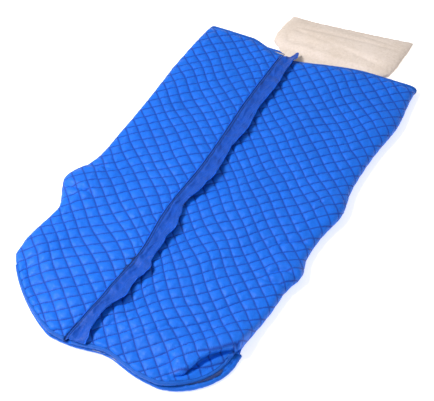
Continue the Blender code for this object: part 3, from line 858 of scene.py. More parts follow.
def build_foot_edges():
    section = [(out * 0.75, up) for out, up in hem_section]
    for side in ("left", "right"):
        _, start, fold, *_ = SIDES[side]
        foot = leaf_foot(side)
        first = start + (0.016 if side == "right" else -0.001)
        path, outward = foot_path(
            *sorted((first, fold)), foot, lambda x, y: leaf_level(x, y) - 0.0035
        )
        made = sweep(side + "_foot_hem", path, outward, (0, 0, 1), section, wobble=0.0003)
        settle(made, "binding_nylon", side + "_leaf", side + "_foot_binding")
        row = path - outward * 0.0095 + np.array([0, 0, 0.0036])
        threads = stitch_row(side + "_foot_stitches", row)
        settle(threads, "thread", side + "_leaf")
    border = (
        (-0.046, 0.0176), (-0.046, 0.0186), (-0.036, 0.0192), (-0.024, 0.0190), (-0.016, 0.0180),
        (-0.012, 0.0166), (-0.007, 0.0168), (-0.002, 0.0152), (0.0008, 0.0118), (0.0014, 0.0080),
        (0.0006, 0.0042), (-0.003, 0.0016), (-0.012, 0.0006), (-0.020, 0.0008), (-0.020, 0.0018),
        (-0.010, 0.0018), (-0.002, 0.0036), (-0.0002, 0.0078), (-0.002, 0.0126), (-0.010, 0.0146),
    )
    x = np.linspace(left_fold + 0.001, 0.4560, 900)
    y = np.linspace(float(foot_edge(x[-1:])[0]) + 0.006, -0.792, 12)
    around = np.concatenate([np.stack([x, foot_edge(x)], 1), np.stack([right_edge(y), y], 1)])
    path = along_run(np.concatenate([around, 0 * around[:, :1]], axis=1), 0.004)
    outward = np.cross(unit(np.gradient(path, axis=0)), (0.0, 0.0, 1.0))
    path = path + outward * 0.0022
    made = sweep("base_foot_border", path, outward, (0, 0, 1), border, wobble=0.0004, seed=6)
    settle(made, "plain_nylon", "base", "base_foot_binding")
    for name, inset, height in (("outer", 0.0125, 0.0172), ("inner", 0.044, 0.0190)):
        row = path - outward * inset + np.array([0, 0, height])
        threads = stitch_row("base_foot_stitches_" + name, row)
        settle(threads, "thread", "base")


def build_tapes():
    half = tape_width / 2

    def lay(name, x, foot, level, look):
        y = foot(x) + tape_start + half
        path = np.stack([x, y, np.full_like(x, level)], axis=1)
        made = sweep(name, path, (0, 1, 0), (0, 0, 1), strip_section(half, 0, tape_cloth))
        dress(made, look)
        return made

    x = np.arange(left_fold + 0.002, right_fold, 0.008)
    made = lay("base_loop_tape", x, foot_edge, 0.0183, "loop_tape")
    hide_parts("base_foot_loop_tape")
    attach(made, "base")
    for side in ("left", "right"):
        sign, start, fold, *_ = SIDES[side]
        low, high = sorted((start + sign * 0.002, fold - sign * 0.002))
        x = np.arange(low, high, 0.008)
        made = lay(side + "_hook_tape", x, leaf_foot(side), 0.0204, "hook_tape")
        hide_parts(side + "_foot_hook_tape")
        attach(made, side + "_leaf")
    for name, node, raised, body, look in (
        ("right_loop_tape", "right_edge_loop_tape", 0.0, "right_leaf", "loop_tape"),
        ("band_tape", "band_hook_tape", 0.0020, "closing_band", "hook_tape"),
    ):
        low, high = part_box(node)
        y = np.arange(low.y, high.y, 0.008)
        x = np.full_like(y, (low.x + high.x) / 2)
        x = x + bow(y)
        path = np.stack([x, y, band_floor(y) - 0.0082 + raised], axis=1)
        width = (high.x - low.x) / 2
        made = sweep(name, path, (1, 0, 0), (0, 0, 1), strip_section(width, 0, tape_cloth))
        settle(made, look, body, node)


# ---- closing band --------------------------------------------------------------------
def band_floor(y):
    """The level that the band's root lies at, over the highest puffs beside it."""
    tops = [leaf_level(seam + bow(y) + off, y) for off in (-0.004, 0.020, 0.045)]
    return np.maximum.reduce(tops) + 0.0110


# The free edge's waves: place from the foot, how far out, how high.
band_edge_waves = np.array((
    (0.000, 0.000, 0.000), (0.045, 0.002, 0.002), (0.080, -0.009, 0.006), (0.148, -0.020, 0.002),
    (0.208, -0.018, -0.002), (0.256, 0.008, 0.006), (0.328, -0.003, -0.001), (0.410, 0.008, 0.006),
    (0.453, -0.014, -0.003), (0.564, -0.010, 0.004), (0.632, 0.005, 0.007), (0.690, -0.006, 0.000),
    (0.757, -0.023, -0.004), (0.858, -0.002, 0.006), (0.945, 0.004, 0.006), (1.040, -0.006, 0.000),
    (1.100, -0.012, -0.003), (1.228, 0.006, 0.006), (1.360, -0.004, 0.000), (1.500, 0.004, 0.004),
    (1.640, -0.006, 0.000), (1.800, -0.004, 0.002),
))


def between(place, knots, values):
    """Runs smoothly from value to value."""
    k = np.clip(np.searchsorted(knots, place) - 1, 0, len(knots) - 2)
    share = ease((place - knots[k]) / (knots[k + 1] - knots[k]))
    return values[k] + (values[k + 1] - values[k]) * share


def band_shape():
    """The band's upper surface as a grid, from its root at the hinge line to its free edge."""
    pitch = 0.004
    foot = float(foot_edge(np.array(seam))) + band_short_of_foot
    head = hem_y - 0.020
    across = np.concatenate([[-2.0, -1.0], np.linspace(0, 1, 27)])
    along = np.linspace(0, 1, int((head - foot) / pitch))
    s, t = np.meshgrid(across, along, indexing="ij")
    hidden, s = s < 0, np.maximum(s, 0)
    end = hem_y - 0.072 + 0.056 * hump(s, 0.76, 0.22)
    start = foot + 0.004 * s
    y = start + (end - start) * t
    from_foot = y - foot_y
    out = between(from_foot, band_edge_waves[:, 0], band_edge_waves[:, 1])
    up = between(from_foot, band_edge_waves[:, 0], band_edge_waves[:, 2])
    lift = 0.008 * ease(from_foot / 0.10) * ease((hem_y - 0.02 - y) / 0.15) + 0.002
    stand = ease((s - 0.10) / 0.90)
    x = band_root + bow(y) + band_width * s * 0.97 + out * s**1.5
    floor = band_floor(y)
    z = floor - 0.0090 + 0.0105 * ease(s / 0.16) + stand * (lift + up * 0.9) * s**0.5
    lean = y + 0.70 * band_width * s
    pull = ease((s - 0.06) / 0.25) * (1 - 0.30 * s)
    folds = ripple(lean, 0.5 * s * band_width, 51, 0.060, 7)
    small = ripple(lean, s * band_width, 52, 0.020, 10)
    z = z + pull * (0.0040 * folds + 0.0010 * small)
    ridge = np.abs(ripple(y * 0.5 + 0.3, 1.1 * s * band_width, 53, 0.060, 5))
    z = z + 0.0042 * pull * (1 - np.clip(ridge * 2.2, 0, 1)) ** 2
    trough = hump(s, 0.50 + 0.10 * ripple(y, 0 * y, 54, 0.30), 0.13)
    z = z - 0.0050 * trough * ease(from_foot / 0.05)
    z = z + 0.0030 * hump(s, 0.97, 0.05)
    z = np.maximum(z, floor - 0.0090 + 0.0060 * ease(s / 0.10))
    x = np.where(hidden, band_root + 0.004, x)
    z = np.where(hidden, floor - 0.0125, z)
    z = z - edge_fall(y - foot_edge(x) + 0.004, 0.022, 0.0150)
    first = np.flatnonzero(across == -1.0)[0]
    x[first] = (x[first - 1] + x[first + 1]) / 2
    return np.stack([x, y, z], axis=2), np.stack([band_width * s, y, 0 * y], axis=2)


def build_band():
    top, cloth = band_shape()
    normal = normals_of(top)
    count, length = top.shape[:2]
    thick = np.full(top.shape[:2], 0.0024)
    below = top - normal * thick[..., None]
    points = np.concatenate([top.reshape(-1, 3), below.reshape(-1, 3)])
    faces = grid_faces(count, length) + grid_faces(count, length, count * length, flip=True)
    rim = [(i, 0) for i in range(count)] + [(count - 1, j) for j in range(1, length)]
    rim += [(i, length - 1) for i in range(count - 2, -1, -1)]
    rim += [(0, j) for j in range(length - 2, 0, -1)]
    flat = [i * length + j for i, j in rim]
    for one, two in zip(flat, flat[1:] + flat[:1]):
        faces.append((one, one + count * length, two + count * length, two))
    both = np.concatenate([cloth.reshape(-1, 3)] * 2)
    made = mesh_piece("closing_band_cloth", points, faces, both)
    face_outward(made)
    rounding = made.modifiers.new("soft_edge", "BEVEL")
    rounding.width = 0.0009
    rounding.segments = 2
    rounding.limit_method = "ANGLE"
    rounding.angle_limit = math.radians(60)
    dress(made, "band_nylon")
    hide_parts("closing_band")
    blend_band(made)
    for name, column in (("first", 3), ("second", 6)):
        row = top[column, 3:-6] + normal[column, 3:-6] * 0.0004
        threads = stitch_row("band_stitches_" + name, row)
        dress(threads, "thread")
        blend_band(threads)
    hem_row = top[-2, 3:-3] + normal[-2, 3:-3] * 0.0004
    edge = stitch_row("band_edge_stitches", hem_row)
    settle(edge, "thread", "closing_band")


def blend_band(made):
    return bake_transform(made)


def build_piping():
    foot = float(foot_edge(np.array(seam))) + 0.002
    y = np.arange(foot, float(left_hem(np.array(seam))) - 0.014, 0.006)
    x = band_root - 0.0030 + bow(y)
    z = leaf_level(x, y) + 0.0012 + 0.0004 * ripple(y, 0 * y, 61, 0.05)
    z = z - edge_fall(y - foot_edge(x) + 0.004, 0.022, 0.0150)
    x = x + 0.0006 * ripple(y, 0 * y, 62, 0.11)
    path = np.stack([x, y, z], axis=1)
    made = sweep("band_piping", path, (1, 0, 0), (0, 0, 1), round_section(0.0023, 10))
    settle(made, "band_nylon", "left_leaf", "seam_piping")


# ---- pillow --------------------------------------------------------------------------
def pillow_rings(inset, steps, fine, thin=0.0012, start=-0.13):
    """Rings across the pillow from its tucked-in tail to its far edge."""
    width, offset, skew, rounding = 0.524, 0.084, 0.040, 0.045
    far, tuck, over = pillow_showing, 0.040, 0.0198
    profile = np.array((
        (-0.13, tuck, over, over + 0.0050), (-0.030, tuck, over, over + 0.0070),
        (0.002, tuck, over, over + 0.0100), (0.018, 0.030, 0.006, 0.0330),
        (0.045, 0.008, 0.0, 0.0400), (far * 0.35, 0.0, 0.0, 0.0430),
        (far * 0.55, 0.0, 0.0, 0.0390), (far * 0.76, 0.0, 0.0, 0.0310),
        (far * 0.91, 0.001, 0.001, 0.0220), (far * 0.975, rounding * 0.10, 0.004, 0.0150),
        (far, rounding * 0.32, 0.007, 0.0120),
    ))
    places = np.unique(np.concatenate([profile[:, 0], np.linspace(-0.13, far, fine)]))
    rings = []
    for place in places[places >= start]:
        gap, low, high = (np.interp(place, profile[:, 0], profile[:, k]) for k in (1, 2, 3))
        half = width / 2 - gap - inset
        middle, rise = (low + high) / 2, max((high - low) / 2 - inset, thin)
        at = min(max(place, -0.13 + inset), far - inset)
        turns = 2 * math.pi * (np.arange(steps) + 0.5) / steps
        side, up = np.cos(turns), np.sin(turns)
        x = offset + half * np.sign(side) * np.abs(side) ** 0.6
        z = middle + rise * np.sign(up) * np.abs(up) ** 0.6
        lean = skew * ease(at / far) * (x - (offset + width / 2 - rounding)) / width
        lean = lean + 0.012 * ease(at / far)
        across = (x - offset + 0.05) / (width / 2 + 0.05)
        hollow = -0.030 * ease(at / far) ** 2 * (1 - across**2)
        rings.append(np.stack([x, hem_y + at + lean + hollow, z], axis=1))
    return np.array(rings)


def rings_mesh(name, rings):
    count, steps = rings.shape[:2]
    faces = []
    for i in range(count - 1):
        for k in range(steps):
            m = (k + 1) % steps
            faces.append((i * steps + k, i * steps + m, (i + 1) * steps + m, (i + 1) * steps + k))
    faces.append(list(range(steps))[::-1])
    faces.append([(count - 1) * steps + k for k in range(steps)])
    made = mesh_piece(name, rings, faces)
    face_outward(made)
    return made


def remesh(made, size):
    voxels = made.modifiers.new("voxels", "REMESH")
    voxels.mode = "VOXEL"
    voxels.voxel_size = size
    shown = made.evaluated_get(bpy.context.evaluated_depsgraph_get())
    old, made.data = made.data, bpy.data.meshes.new_from_object(shown)
    bpy.data.meshes.remove(old)
    made.modifiers.clear()


def set_cloth_places(made):
    places = made.data.attributes.get("cloth") or made.data.attributes.new(
        "cloth", "FLOAT_VECTOR", "POINT"
    )
    co = np.zeros(len(made.data.vertices) * 3, np.float32)
    made.data.vertices.foreach_get("co", co)
    places.data.foreach_set("vector", co)


def build_pillow(settings):
    cover = rings_mesh("pillow_cover_cloth", pillow_rings(0.0022, 48, 40, thin=0.0031))
    remesh(cover, 0.0052)
    co = np.array([vert.co for vert in cover.data.vertices])
    rough = 0.0016 * ripple(co[:, 0], co[:, 1], 71, 0.05, 9)
    shown_part = ease((co[:, 1] - hem_y - 0.02) / 0.05)
    start = co.copy()
    start[:, 2] += rough * shown_part
    cover.data.vertices.foreach_set("co", start.astype(np.float32).ravel())
    reached = relax(cover, 1.1, 0.040, 18, bending=0.25, stiffness=9.0, mass=0.2)
    move = reached - co
    size = np.linalg.norm(move, axis=1, keepdims=True)
    move = move * np.minimum(1, settings.pillow_slack / np.maximum(size, 1e-9))
    tucked = 1 - ease((co[:, 1] - hem_y - 0.004) / 0.03)
    move = move * (1 - 0.85 * tucked)[:, None]
    co = co + move
    co[:, 2] = np.maximum(co[:, 2], 0.0003)
    for centre, lean, depth, reach in (
        (0.175, 0.10, 0.0030, 0.012), (0.100, -0.16, 0.0026, 0.011), (0.235, -0.06, 0.0022, 0.010),
    ):
        line = co[:, 1] - hem_y - centre - lean * (co[:, 0] - 0.084)
        side = ease((0.27 - np.abs(co[:, 0] - 0.084 - 0.05 * lean)) / 0.12)
        co[:, 2] -= depth * hump(line, 0, reach) * side * ease((co[:, 2] - 0.012) / 0.01)
    cover.data.vertices.foreach_set("co", co.astype(np.float32).ravel())
    set_cloth_places(cover)
    for face in cover.data.polygons:
        face.use_smooth = True
    smooth = cover.modifiers.new("round", "SUBSURF")
    smooth.levels = smooth.render_levels = 1
    settle(cover, "pillow_cotton", "head_pillow", "pillow_cover")
    inner = rings_mesh("pillow_wadding", pillow_rings(0.0110, 32, 20, start=0.03))
    set_cloth_places(inner)
    lumps = bpy.data.textures.new("lumps", "CLOUDS")
    lumps.noise_scale = 0.03
    push = inner.modifiers.new("lumps", "DISPLACE")
    push.texture, push.strength, push.mid_level = lumps, -0.002, 0.0
    settle(inner, "wadding", "head_pillow", "pillow_filling")


# ---- node groups ---------------------------------------------------------------------
class Tree:
    """Short ways to add and join shader nodes."""

    def __init__(self, tree):
        self.tree = tree

    def add(self, kind, settings=None, **inputs):
        node = self.tree.nodes.new(kind)
        for name, value in (settings or {}).items():
            setattr(node, name, value)
        for name, value in inputs.items():
            self.put(node, name.replace("_", " "), value)
        return node

    def put(self, node, name, value):
        socket = node.inputs[int(name)] if name.isdigit() else node.inputs[name]
        if isinstance(value, bpy.types.NodeSocket):
            self.tree.links.new(value, socket)
        elif hasattr(value, "__len__") and len(value) == 3 and socket.type == "RGBA":
            socket.default_value = (*value, 1)
        else:
            socket.default_value = value

    def math(self, operation, *values, clamp=False):
        node = self.tree.nodes.new("ShaderNodeMath")
        node.operation, node.use_clamp = operation, clamp
        for k, value in enumerate(values):
            self.put(node, str(k), value)
        return node.outputs[0]

    def times(self, one, two):
        return self.math("MULTIPLY", one, two)

    def smooth(self, value, low, high, out_low=0.0, out_high=1.0):
        node = self.tree.nodes.new("ShaderNodeMapRange")
        node.interpolation_type = "SMOOTHSTEP"
        for k, item in enumerate((value, low, high, out_low, out_high)):
            self.put(node, str(k), item)
        return node.outputs[0]

    def mix(self, share, one, two):
        node = self.tree.nodes.new("ShaderNodeMix")
        node.data_type = "RGBA"
        self.put(node, "0", share)
        self.put(node, "6", one)
        self.put(node, "7", two)
        return node.outputs[2]


def new_group(name, inputs, outputs):
    group = bpy.data.node_groups.new(name, "ShaderNodeTree")
    for label, kind, default in inputs:
        socket = group.interface.new_socket(label, in_out="INPUT", socket_type=kind)
        if default is not None:
            socket.default_value = default
    for label, kind in outputs:
        group.interface.new_socket(label, in_out="OUTPUT", socket_type=kind)
    given = group.nodes.new("NodeGroupInput")
    result = group.nodes.new("NodeGroupOutput")
    return group, Tree(group), given.outputs, result.inputs


NUMBER, COLOUR, VECTOR = "NodeSocketFloat", "NodeSocketColor", "NodeSocketVector"


def weave_group():
    """Crossing threads: a height, and a mask of the threads that lie on top."""
    group, tree, given, result = new_group(
        "weave",
        [("Vector", VECTOR, None), ("Threads per metre", NUMBER, 1400.0), ("Slub", NUMBER, 0.3)],
        [("Height", NUMBER), ("Mask", NUMBER)],
    )
    slub = tree.add("ShaderNodeTexNoise", Vector=given["Vector"], Scale=240.0, Detail=2.0)
    parts = tree.add("ShaderNodeSeparateXYZ", Vector=given["Vector"]).outputs
    pitch = tree.times(given["Threads per metre"], math.pi)
    shift = tree.times(slub.outputs[0], given["Slub"])
    one = tree.math("SINE", tree.math("ADD", tree.times(parts["X"], pitch), shift))
    two = tree.math("SINE", tree.math("ADD", tree.times(parts["Y"], pitch), shift))
    both = tree.times(one, two)
    group.links.new(tree.math("MULTIPLY_ADD", both, 0.5, 0.5), result["Height"])
    group.links.new(tree.smooth(both, -0.2, 0.4), result["Mask"])
    return group


def dye_group():
    """Uneven colour over a surface, with faint scuffed patches."""
    group, tree, given, result = new_group(
        "uneven_dye",
        [
            ("Vector", VECTOR, None), ("Colour", COLOUR, (0.5, 0.5, 0.5, 1)),
            ("Shade", COLOUR, (0.4, 0.4, 0.4, 1)), ("Patch size", NUMBER, 9.0),
            ("Amount", NUMBER, 0.5),
        ],
        [("Colour", COLOUR), ("Mask", NUMBER)],
    )
    large = tree.add(
        "ShaderNodeTexNoise", Vector=given["Vector"], Scale=given["Patch size"], Detail=4.0
    )
    fine_scale = tree.times(given["Patch size"], 14.0)
    fine = tree.add("ShaderNodeTexNoise", Vector=given["Vector"], Scale=fine_scale, Detail=3.0)
    broad = tree.times(large.outputs[0], 0.6)
    mixed = tree.math("MULTIPLY_ADD", fine.outputs[0], 0.4, broad)
    mask = tree.smooth(mixed, 0.36, 0.64)
    share = tree.times(mask, given["Amount"])
    group.links.new(tree.mix(share, given["Colour"], given["Shade"]), result["Colour"])
    group.links.new(mask, result["Mask"])
    return group


def crinkle_group():
    """Fine dry creases of thin cloth, as a height."""
    group, tree, given, result = new_group(
        "crinkles",
        [("Vector", VECTOR, None), ("Scale", NUMBER, 60.0), ("Sharpness", NUMBER, 0.5)],
        [("Height", NUMBER), ("Mask", NUMBER)],
    )
    bend = tree.add("ShaderNodeTexNoise", Vector=given["Vector"], Scale=given["Scale"], Detail=2.0,
                    Distortion=1.2)
    ridge = tree.math("ABSOLUTE", tree.math("SUBTRACT", bend.outputs[0], 0.5))
    sharp = tree.smooth(ridge, 0.0, tree.times(given["Sharpness"], 0.2), 1.0, 0.0)
    double = tree.times(given["Scale"], 2.6)
    more = tree.add("ShaderNodeTexNoise", Vector=given["Vector"], Scale=double, Detail=3.0)
    height = tree.math("MULTIPLY_ADD", more.outputs[0], 0.35, tree.times(sharp, 0.5))
    group.links.new(height, result["Height"])
    group.links.new(sharp, result["Mask"])
    return group


def stitching_group():
    """Diamond quilting: the sewn line, the valley round it, and its separate stitches."""
    group, tree, given, result = new_group(
        "diamond_stitching",
        [
            ("Vector", VECTOR, None), ("Cell side", NUMBER, 0.0435),
            ("Line width", NUMBER, 0.0011), ("Valley width", NUMBER, 0.0056),
        ],
        [("Line", NUMBER), ("Valley", NUMBER), ("Thread", NUMBER), ("Pucker", NUMBER)],
    )
    parts = tree.add("ShaderNodeSeparateXYZ", Vector=given["Vector"]).outputs
    half = math.sqrt(0.5)
    plus = tree.times(tree.math("ADD", parts["X"], parts["Y"]), half)
    minus = tree.times(tree.math("SUBTRACT", parts["X"], parts["Y"]), half)
    lines, threads, puckers, gaps = [], [], [], []
    for across, along in ((plus, minus), (minus, plus)):
        scaled = tree.math("DIVIDE", across, given["Cell side"])
        off = tree.math("ABSOLUTE", tree.math("SUBTRACT", scaled, tree.math("ROUND", scaled)))
        gap = tree.times(off, given["Cell side"])
        line = tree.smooth(gap, 0.0, given["Line width"], 1.0, 0.0)
        dash = tree.math("SINE", tree.times(along, 2 * math.pi / 0.0034))
        gaps.append(gap)
        lines.append(line)
        threads.append(tree.times(line, tree.smooth(dash, -0.35, 0.15)))
        wave = tree.math("SINE", tree.times(along, 2 * math.pi / 0.0068))
        near = tree.smooth(gap, 0.001, 0.011, 1.0, 0.0)
        puckers.append(tree.times(near, wave))
    group.links.new(tree.math("MAXIMUM", *lines), result["Line"])
    closest = tree.math("MINIMUM", *gaps)
    group.links.new(tree.smooth(closest, 0.0, given["Valley width"], 1.0, 0.0), result["Valley"])
    group.links.new(tree.math("MAXIMUM", *threads), result["Thread"])
    group.links.new(tree.math("ADD", *puckers), result["Pucker"])
    return group


def pile_group():
    """Short standing loops or hooks, as a height and a mask of their tips."""
    group, tree, given, result = new_group(
        "pile",
        [("Vector", VECTOR, None), ("Scale", NUMBER, 900.0), ("Softness", NUMBER, 0.5)],
        [("Height", NUMBER), ("Mask", NUMBER)],
    )
    cells = tree.add("ShaderNodeTexVoronoi", Vector=given["Vector"], Scale=given["Scale"])
    reach = tree.math("MULTIPLY_ADD", given["Softness"], 0.5, 0.3)
    tips = tree.smooth(cells.outputs["Distance"], 0.0, reach, 1.0, 0.0)
    group.links.new(tips, result["Height"])
    group.links.new(tree.smooth(tips, 0.2, 0.8), result["Mask"])
    return group


# ---- materials -----------------------------------------------------------------------
LOOKS, GROUPS = {}, {}


def use_group(tree, name, **inputs):
    node = tree.tree.nodes.new("ShaderNodeGroup")
    node.node_tree = GROUPS[name]
    for label, value in inputs.items():
        tree.put(node, label.replace("_", " "), value)
    return node.outputs


def start_material(name, roughness, metallic=0.0, sheen=0.0, specular=0.5, coat=0.0,
                   on_cloth=True):
    """A material with its plain sockets set, and the cloth places to pattern it by."""
    made = bpy.data.materials.new(name)
    made.use_nodes = True
    tree = Tree(made.node_tree)
    shader = made.node_tree.nodes["Principled BSDF"]
    for socket, value in (
        ("Roughness", roughness), ("Metallic", metallic), ("Sheen Weight", sheen),
        ("Sheen Roughness", 0.45), ("Specular IOR Level", specular), ("Coat Weight", coat),
    ):
        shader.inputs[socket].default_value = value
    if on_cloth:
        place = tree.add("ShaderNodeAttribute", {"attribute_name": "cloth"}).outputs["Vector"]
    else:
        place = tree.add("ShaderNodeTexCoord").outputs["Object"]
    return made, tree, shader, place


def raise_surface(tree, shader, height, distance, strength=1.0):
    bump = tree.add("ShaderNodeBump", Height=height, Distance=distance, Strength=strength)
    tree.tree.links.new(bump.outputs["Normal"], shader.inputs["Normal"])


def shaded(colour, amount):
    return tuple(channel * amount for channel in colour)


def quilted_material(settings):
    made, tree, shader, place = start_material("quilted_nylon", 0.46, sheen=0.02, specular=0.28)
    colour = tuple(settings.quilt_colour)
    shade = tuple(settings.quilt_shade)
    dye = use_group(tree, "uneven_dye", Vector=place, Colour=colour, Shade=shaded(colour, 0.80),
                    Patch_size=8.0, Amount=0.45)
    sewn = use_group(tree, "diamond_stitching", Vector=place, Cell_side=settings.cell_side)
    weave = use_group(tree, "weave", Vector=place, Threads_per_metre=1500.0)
    creases_out = use_group(tree, "crinkles", Vector=place, Scale=75.0, Sharpness=0.45)
    # Painted shade: the colour darkens towards the valley shade down in the stitch valleys.
    valley = tree.mix(tree.times(sewn["Valley"], 0.74), dye["Colour"], shade)
    rub = tree.times(creases_out["Mask"], 0.10)
    lightened = tree.mix(rub, valley, shaded(colour, 1.25))
    thread = tree.mix(tree.times(sewn["Thread"], 0.75), lightened, shaded(shade, 0.6))
    tree.tree.links.new(thread, shader.inputs["Base Color"])
    rough = tree.math("MULTIPLY_ADD", weave["Mask"], -0.06, 0.50)
    rough = tree.math("MULTIPLY_ADD", dye["Mask"], 0.07, rough)
    tree.tree.links.new(rough, shader.inputs["Roughness"])
    height = tree.math("MULTIPLY_ADD", creases_out["Height"], 0.55,
                       tree.times(weave["Height"], 0.05))
    height = tree.math("MULTIPLY_ADD", sewn["Pucker"], 0.22, height)
    height = tree.math("MULTIPLY_ADD", sewn["Line"], -0.55, height)
    height = tree.math("MULTIPLY_ADD", sewn["Thread"], 0.40, height)
    raise_surface(tree, shader, height, 0.0011)
    return made


def plain_cloth_material(name, colour, shade, roughness, threads, crinkle, patch=10.0, sheen=0.04,
                         amount=0.45, specular=0.26):
    made, tree, shader, place = start_material(name, roughness, sheen=sheen, specular=specular)
    dye = use_group(tree, "uneven_dye", Vector=place, Colour=colour, Shade=shade,
                    Patch_size=patch, Amount=amount)
    weave = use_group(tree, "weave", Vector=place, Threads_per_metre=threads)
    creased = use_group(tree, "crinkles", Vector=place, Scale=55.0, Sharpness=0.5)
    wear = tree.times(creased["Mask"], 0.12)
    worn = tree.mix(wear, dye["Colour"], shaded(colour, 1.3))
    lit = tree.mix(tree.times(weave["Mask"], 0.12), worn, shaded(colour, 1.15))
    tree.tree.links.new(lit, shader.inputs["Base Color"])
    rough = tree.math("MULTIPLY_ADD", dye["Mask"], 0.08, roughness - 0.03)
    tree.tree.links.new(rough, shader.inputs["Roughness"])
    height = tree.math("MULTIPLY_ADD", creased["Height"], crinkle,
                       tree.times(weave["Height"], 0.12))
    raise_surface(tree, shader, height, 0.0012)
    return made


def band_material(colour):
    """Plain nylon with painted shade in its sewn edge and a painted highlight on its free edge."""
    made = plain_cloth_material(
        "band_nylon", colour, shaded(colour, 0.55), 0.44, 1500.0, 0.75, patch=16.0
    )
    tree = Tree(made.node_tree)
    shader = made.node_tree.nodes["Principled BSDF"]
    cloth = shader.inputs["Base Color"].links[0].from_socket
    place = tree.add("ShaderNodeAttribute", {"attribute_name": "cloth"}).outputs["Vector"]
    across = tree.add("ShaderNodeSeparateXYZ", Vector=place).outputs["X"]
    # Painted shade: darker down in the groove at the sewn edge and along a second line 15.5 mm in.
    sewn = tree.smooth(across, 0.002, 0.010, 0.9, 0.0)
    second = tree.math("ABSOLUTE", tree.math("SUBTRACT", across, 0.0155))
    sewn = tree.math("MAXIMUM", sewn, tree.smooth(second, 0.0008, 0.0028, 0.75, 0.0))
    # Painted highlight: a lighter rim along the raised free edge.
    lightened = tree.smooth(across, band_width - 0.006, band_width - 0.002, 0.0, 0.8)
    dark = tree.mix(sewn, cloth, shaded(colour, 0.20))
    light = tree.mix(lightened, dark, shaded(colour, 1.9))
    made.node_tree.links.new(light, shader.inputs["Base Color"])
    return made


def lining_material(colour):
    made, tree, shader, place = start_material("beige_lining", 0.42, specular=0.5, coat=0.08)
    dye = use_group(tree, "uneven_dye", Vector=place, Colour=colour, Shade=shaded(colour, 0.86),
                    Patch_size=5.0, Amount=0.6)
    grain = tree.add("ShaderNodeTexVoronoi", Vector=place, Scale=620.0)
    folds = use_group(tree, "crinkles", Vector=place, Scale=26.0, Sharpness=0.6)
    # Painted shade: darker along the lining's fold lines.
    fold_painted_shade = tree.times(folds["Mask"], 0.18)
    dark = tree.mix(fold_painted_shade, dye["Colour"], shaded(colour, 0.70))
    tree.tree.links.new(dark, shader.inputs["Base Color"])
    rough = tree.math("MULTIPLY_ADD", grain.outputs["Distance"], 0.12, 0.36)
    tree.tree.links.new(rough, shader.inputs["Roughness"])
    height = tree.math("MULTIPLY_ADD", folds["Height"], 0.8,
                       tree.times(grain.outputs["Distance"], 0.18))
    raise_surface(tree, shader, height, 0.0016)
    return made


def pile_material(name, colour, scale, softness, roughness, on_cloth=True, distance=0.0009):
    made, tree, shader, place = start_material(
        name, roughness, sheen=0.4, specular=0.25, on_cloth=on_cloth
    )
    dye = use_group(tree, "uneven_dye", Vector=place, Colour=colour, Shade=shaded(colour, 0.72),
                    Patch_size=30.0, Amount=0.6)
    pile = use_group(tree, "pile", Vector=place, Scale=scale, Softness=softness)
    # Painted shade: darker down between the pile's raised tips.
    tips = tree.mix(tree.times(pile["Mask"], 0.5), shaded(colour, 0.55), dye["Colour"])
    tree.tree.links.new(tips, shader.inputs["Base Color"])
    raise_surface(tree, shader, pile["Height"], distance)
    return made


def hard_material(name, colour, roughness, metallic=0.0, grain=900.0, distance=0.00012, wear=1.4):
    made, tree, shader, place = start_material(
        name, roughness, metallic=metallic, specular=0.5, on_cloth=False
    )
    dye = use_group(tree, "uneven_dye", Vector=place, Colour=colour, Shade=shaded(colour, 0.8),
                    Patch_size=45.0, Amount=0.5)
    edge = tree.smooth(tree.add("ShaderNodeNewGeometry").outputs["Pointiness"], 0.52, 0.60)
    worn = tree.mix(tree.times(edge, 0.5), dye["Colour"], shaded(colour, wear))
    tree.tree.links.new(worn, shader.inputs["Base Color"])
    rough = tree.math("MULTIPLY_ADD", dye["Mask"], 0.12, roughness - 0.05)
    tree.tree.links.new(rough, shader.inputs["Roughness"])
    spots = tree.add("ShaderNodeTexNoise", Vector=place, Scale=grain, Detail=3.0)
    raise_surface(tree, shader, spots.outputs[0], distance)
    return made


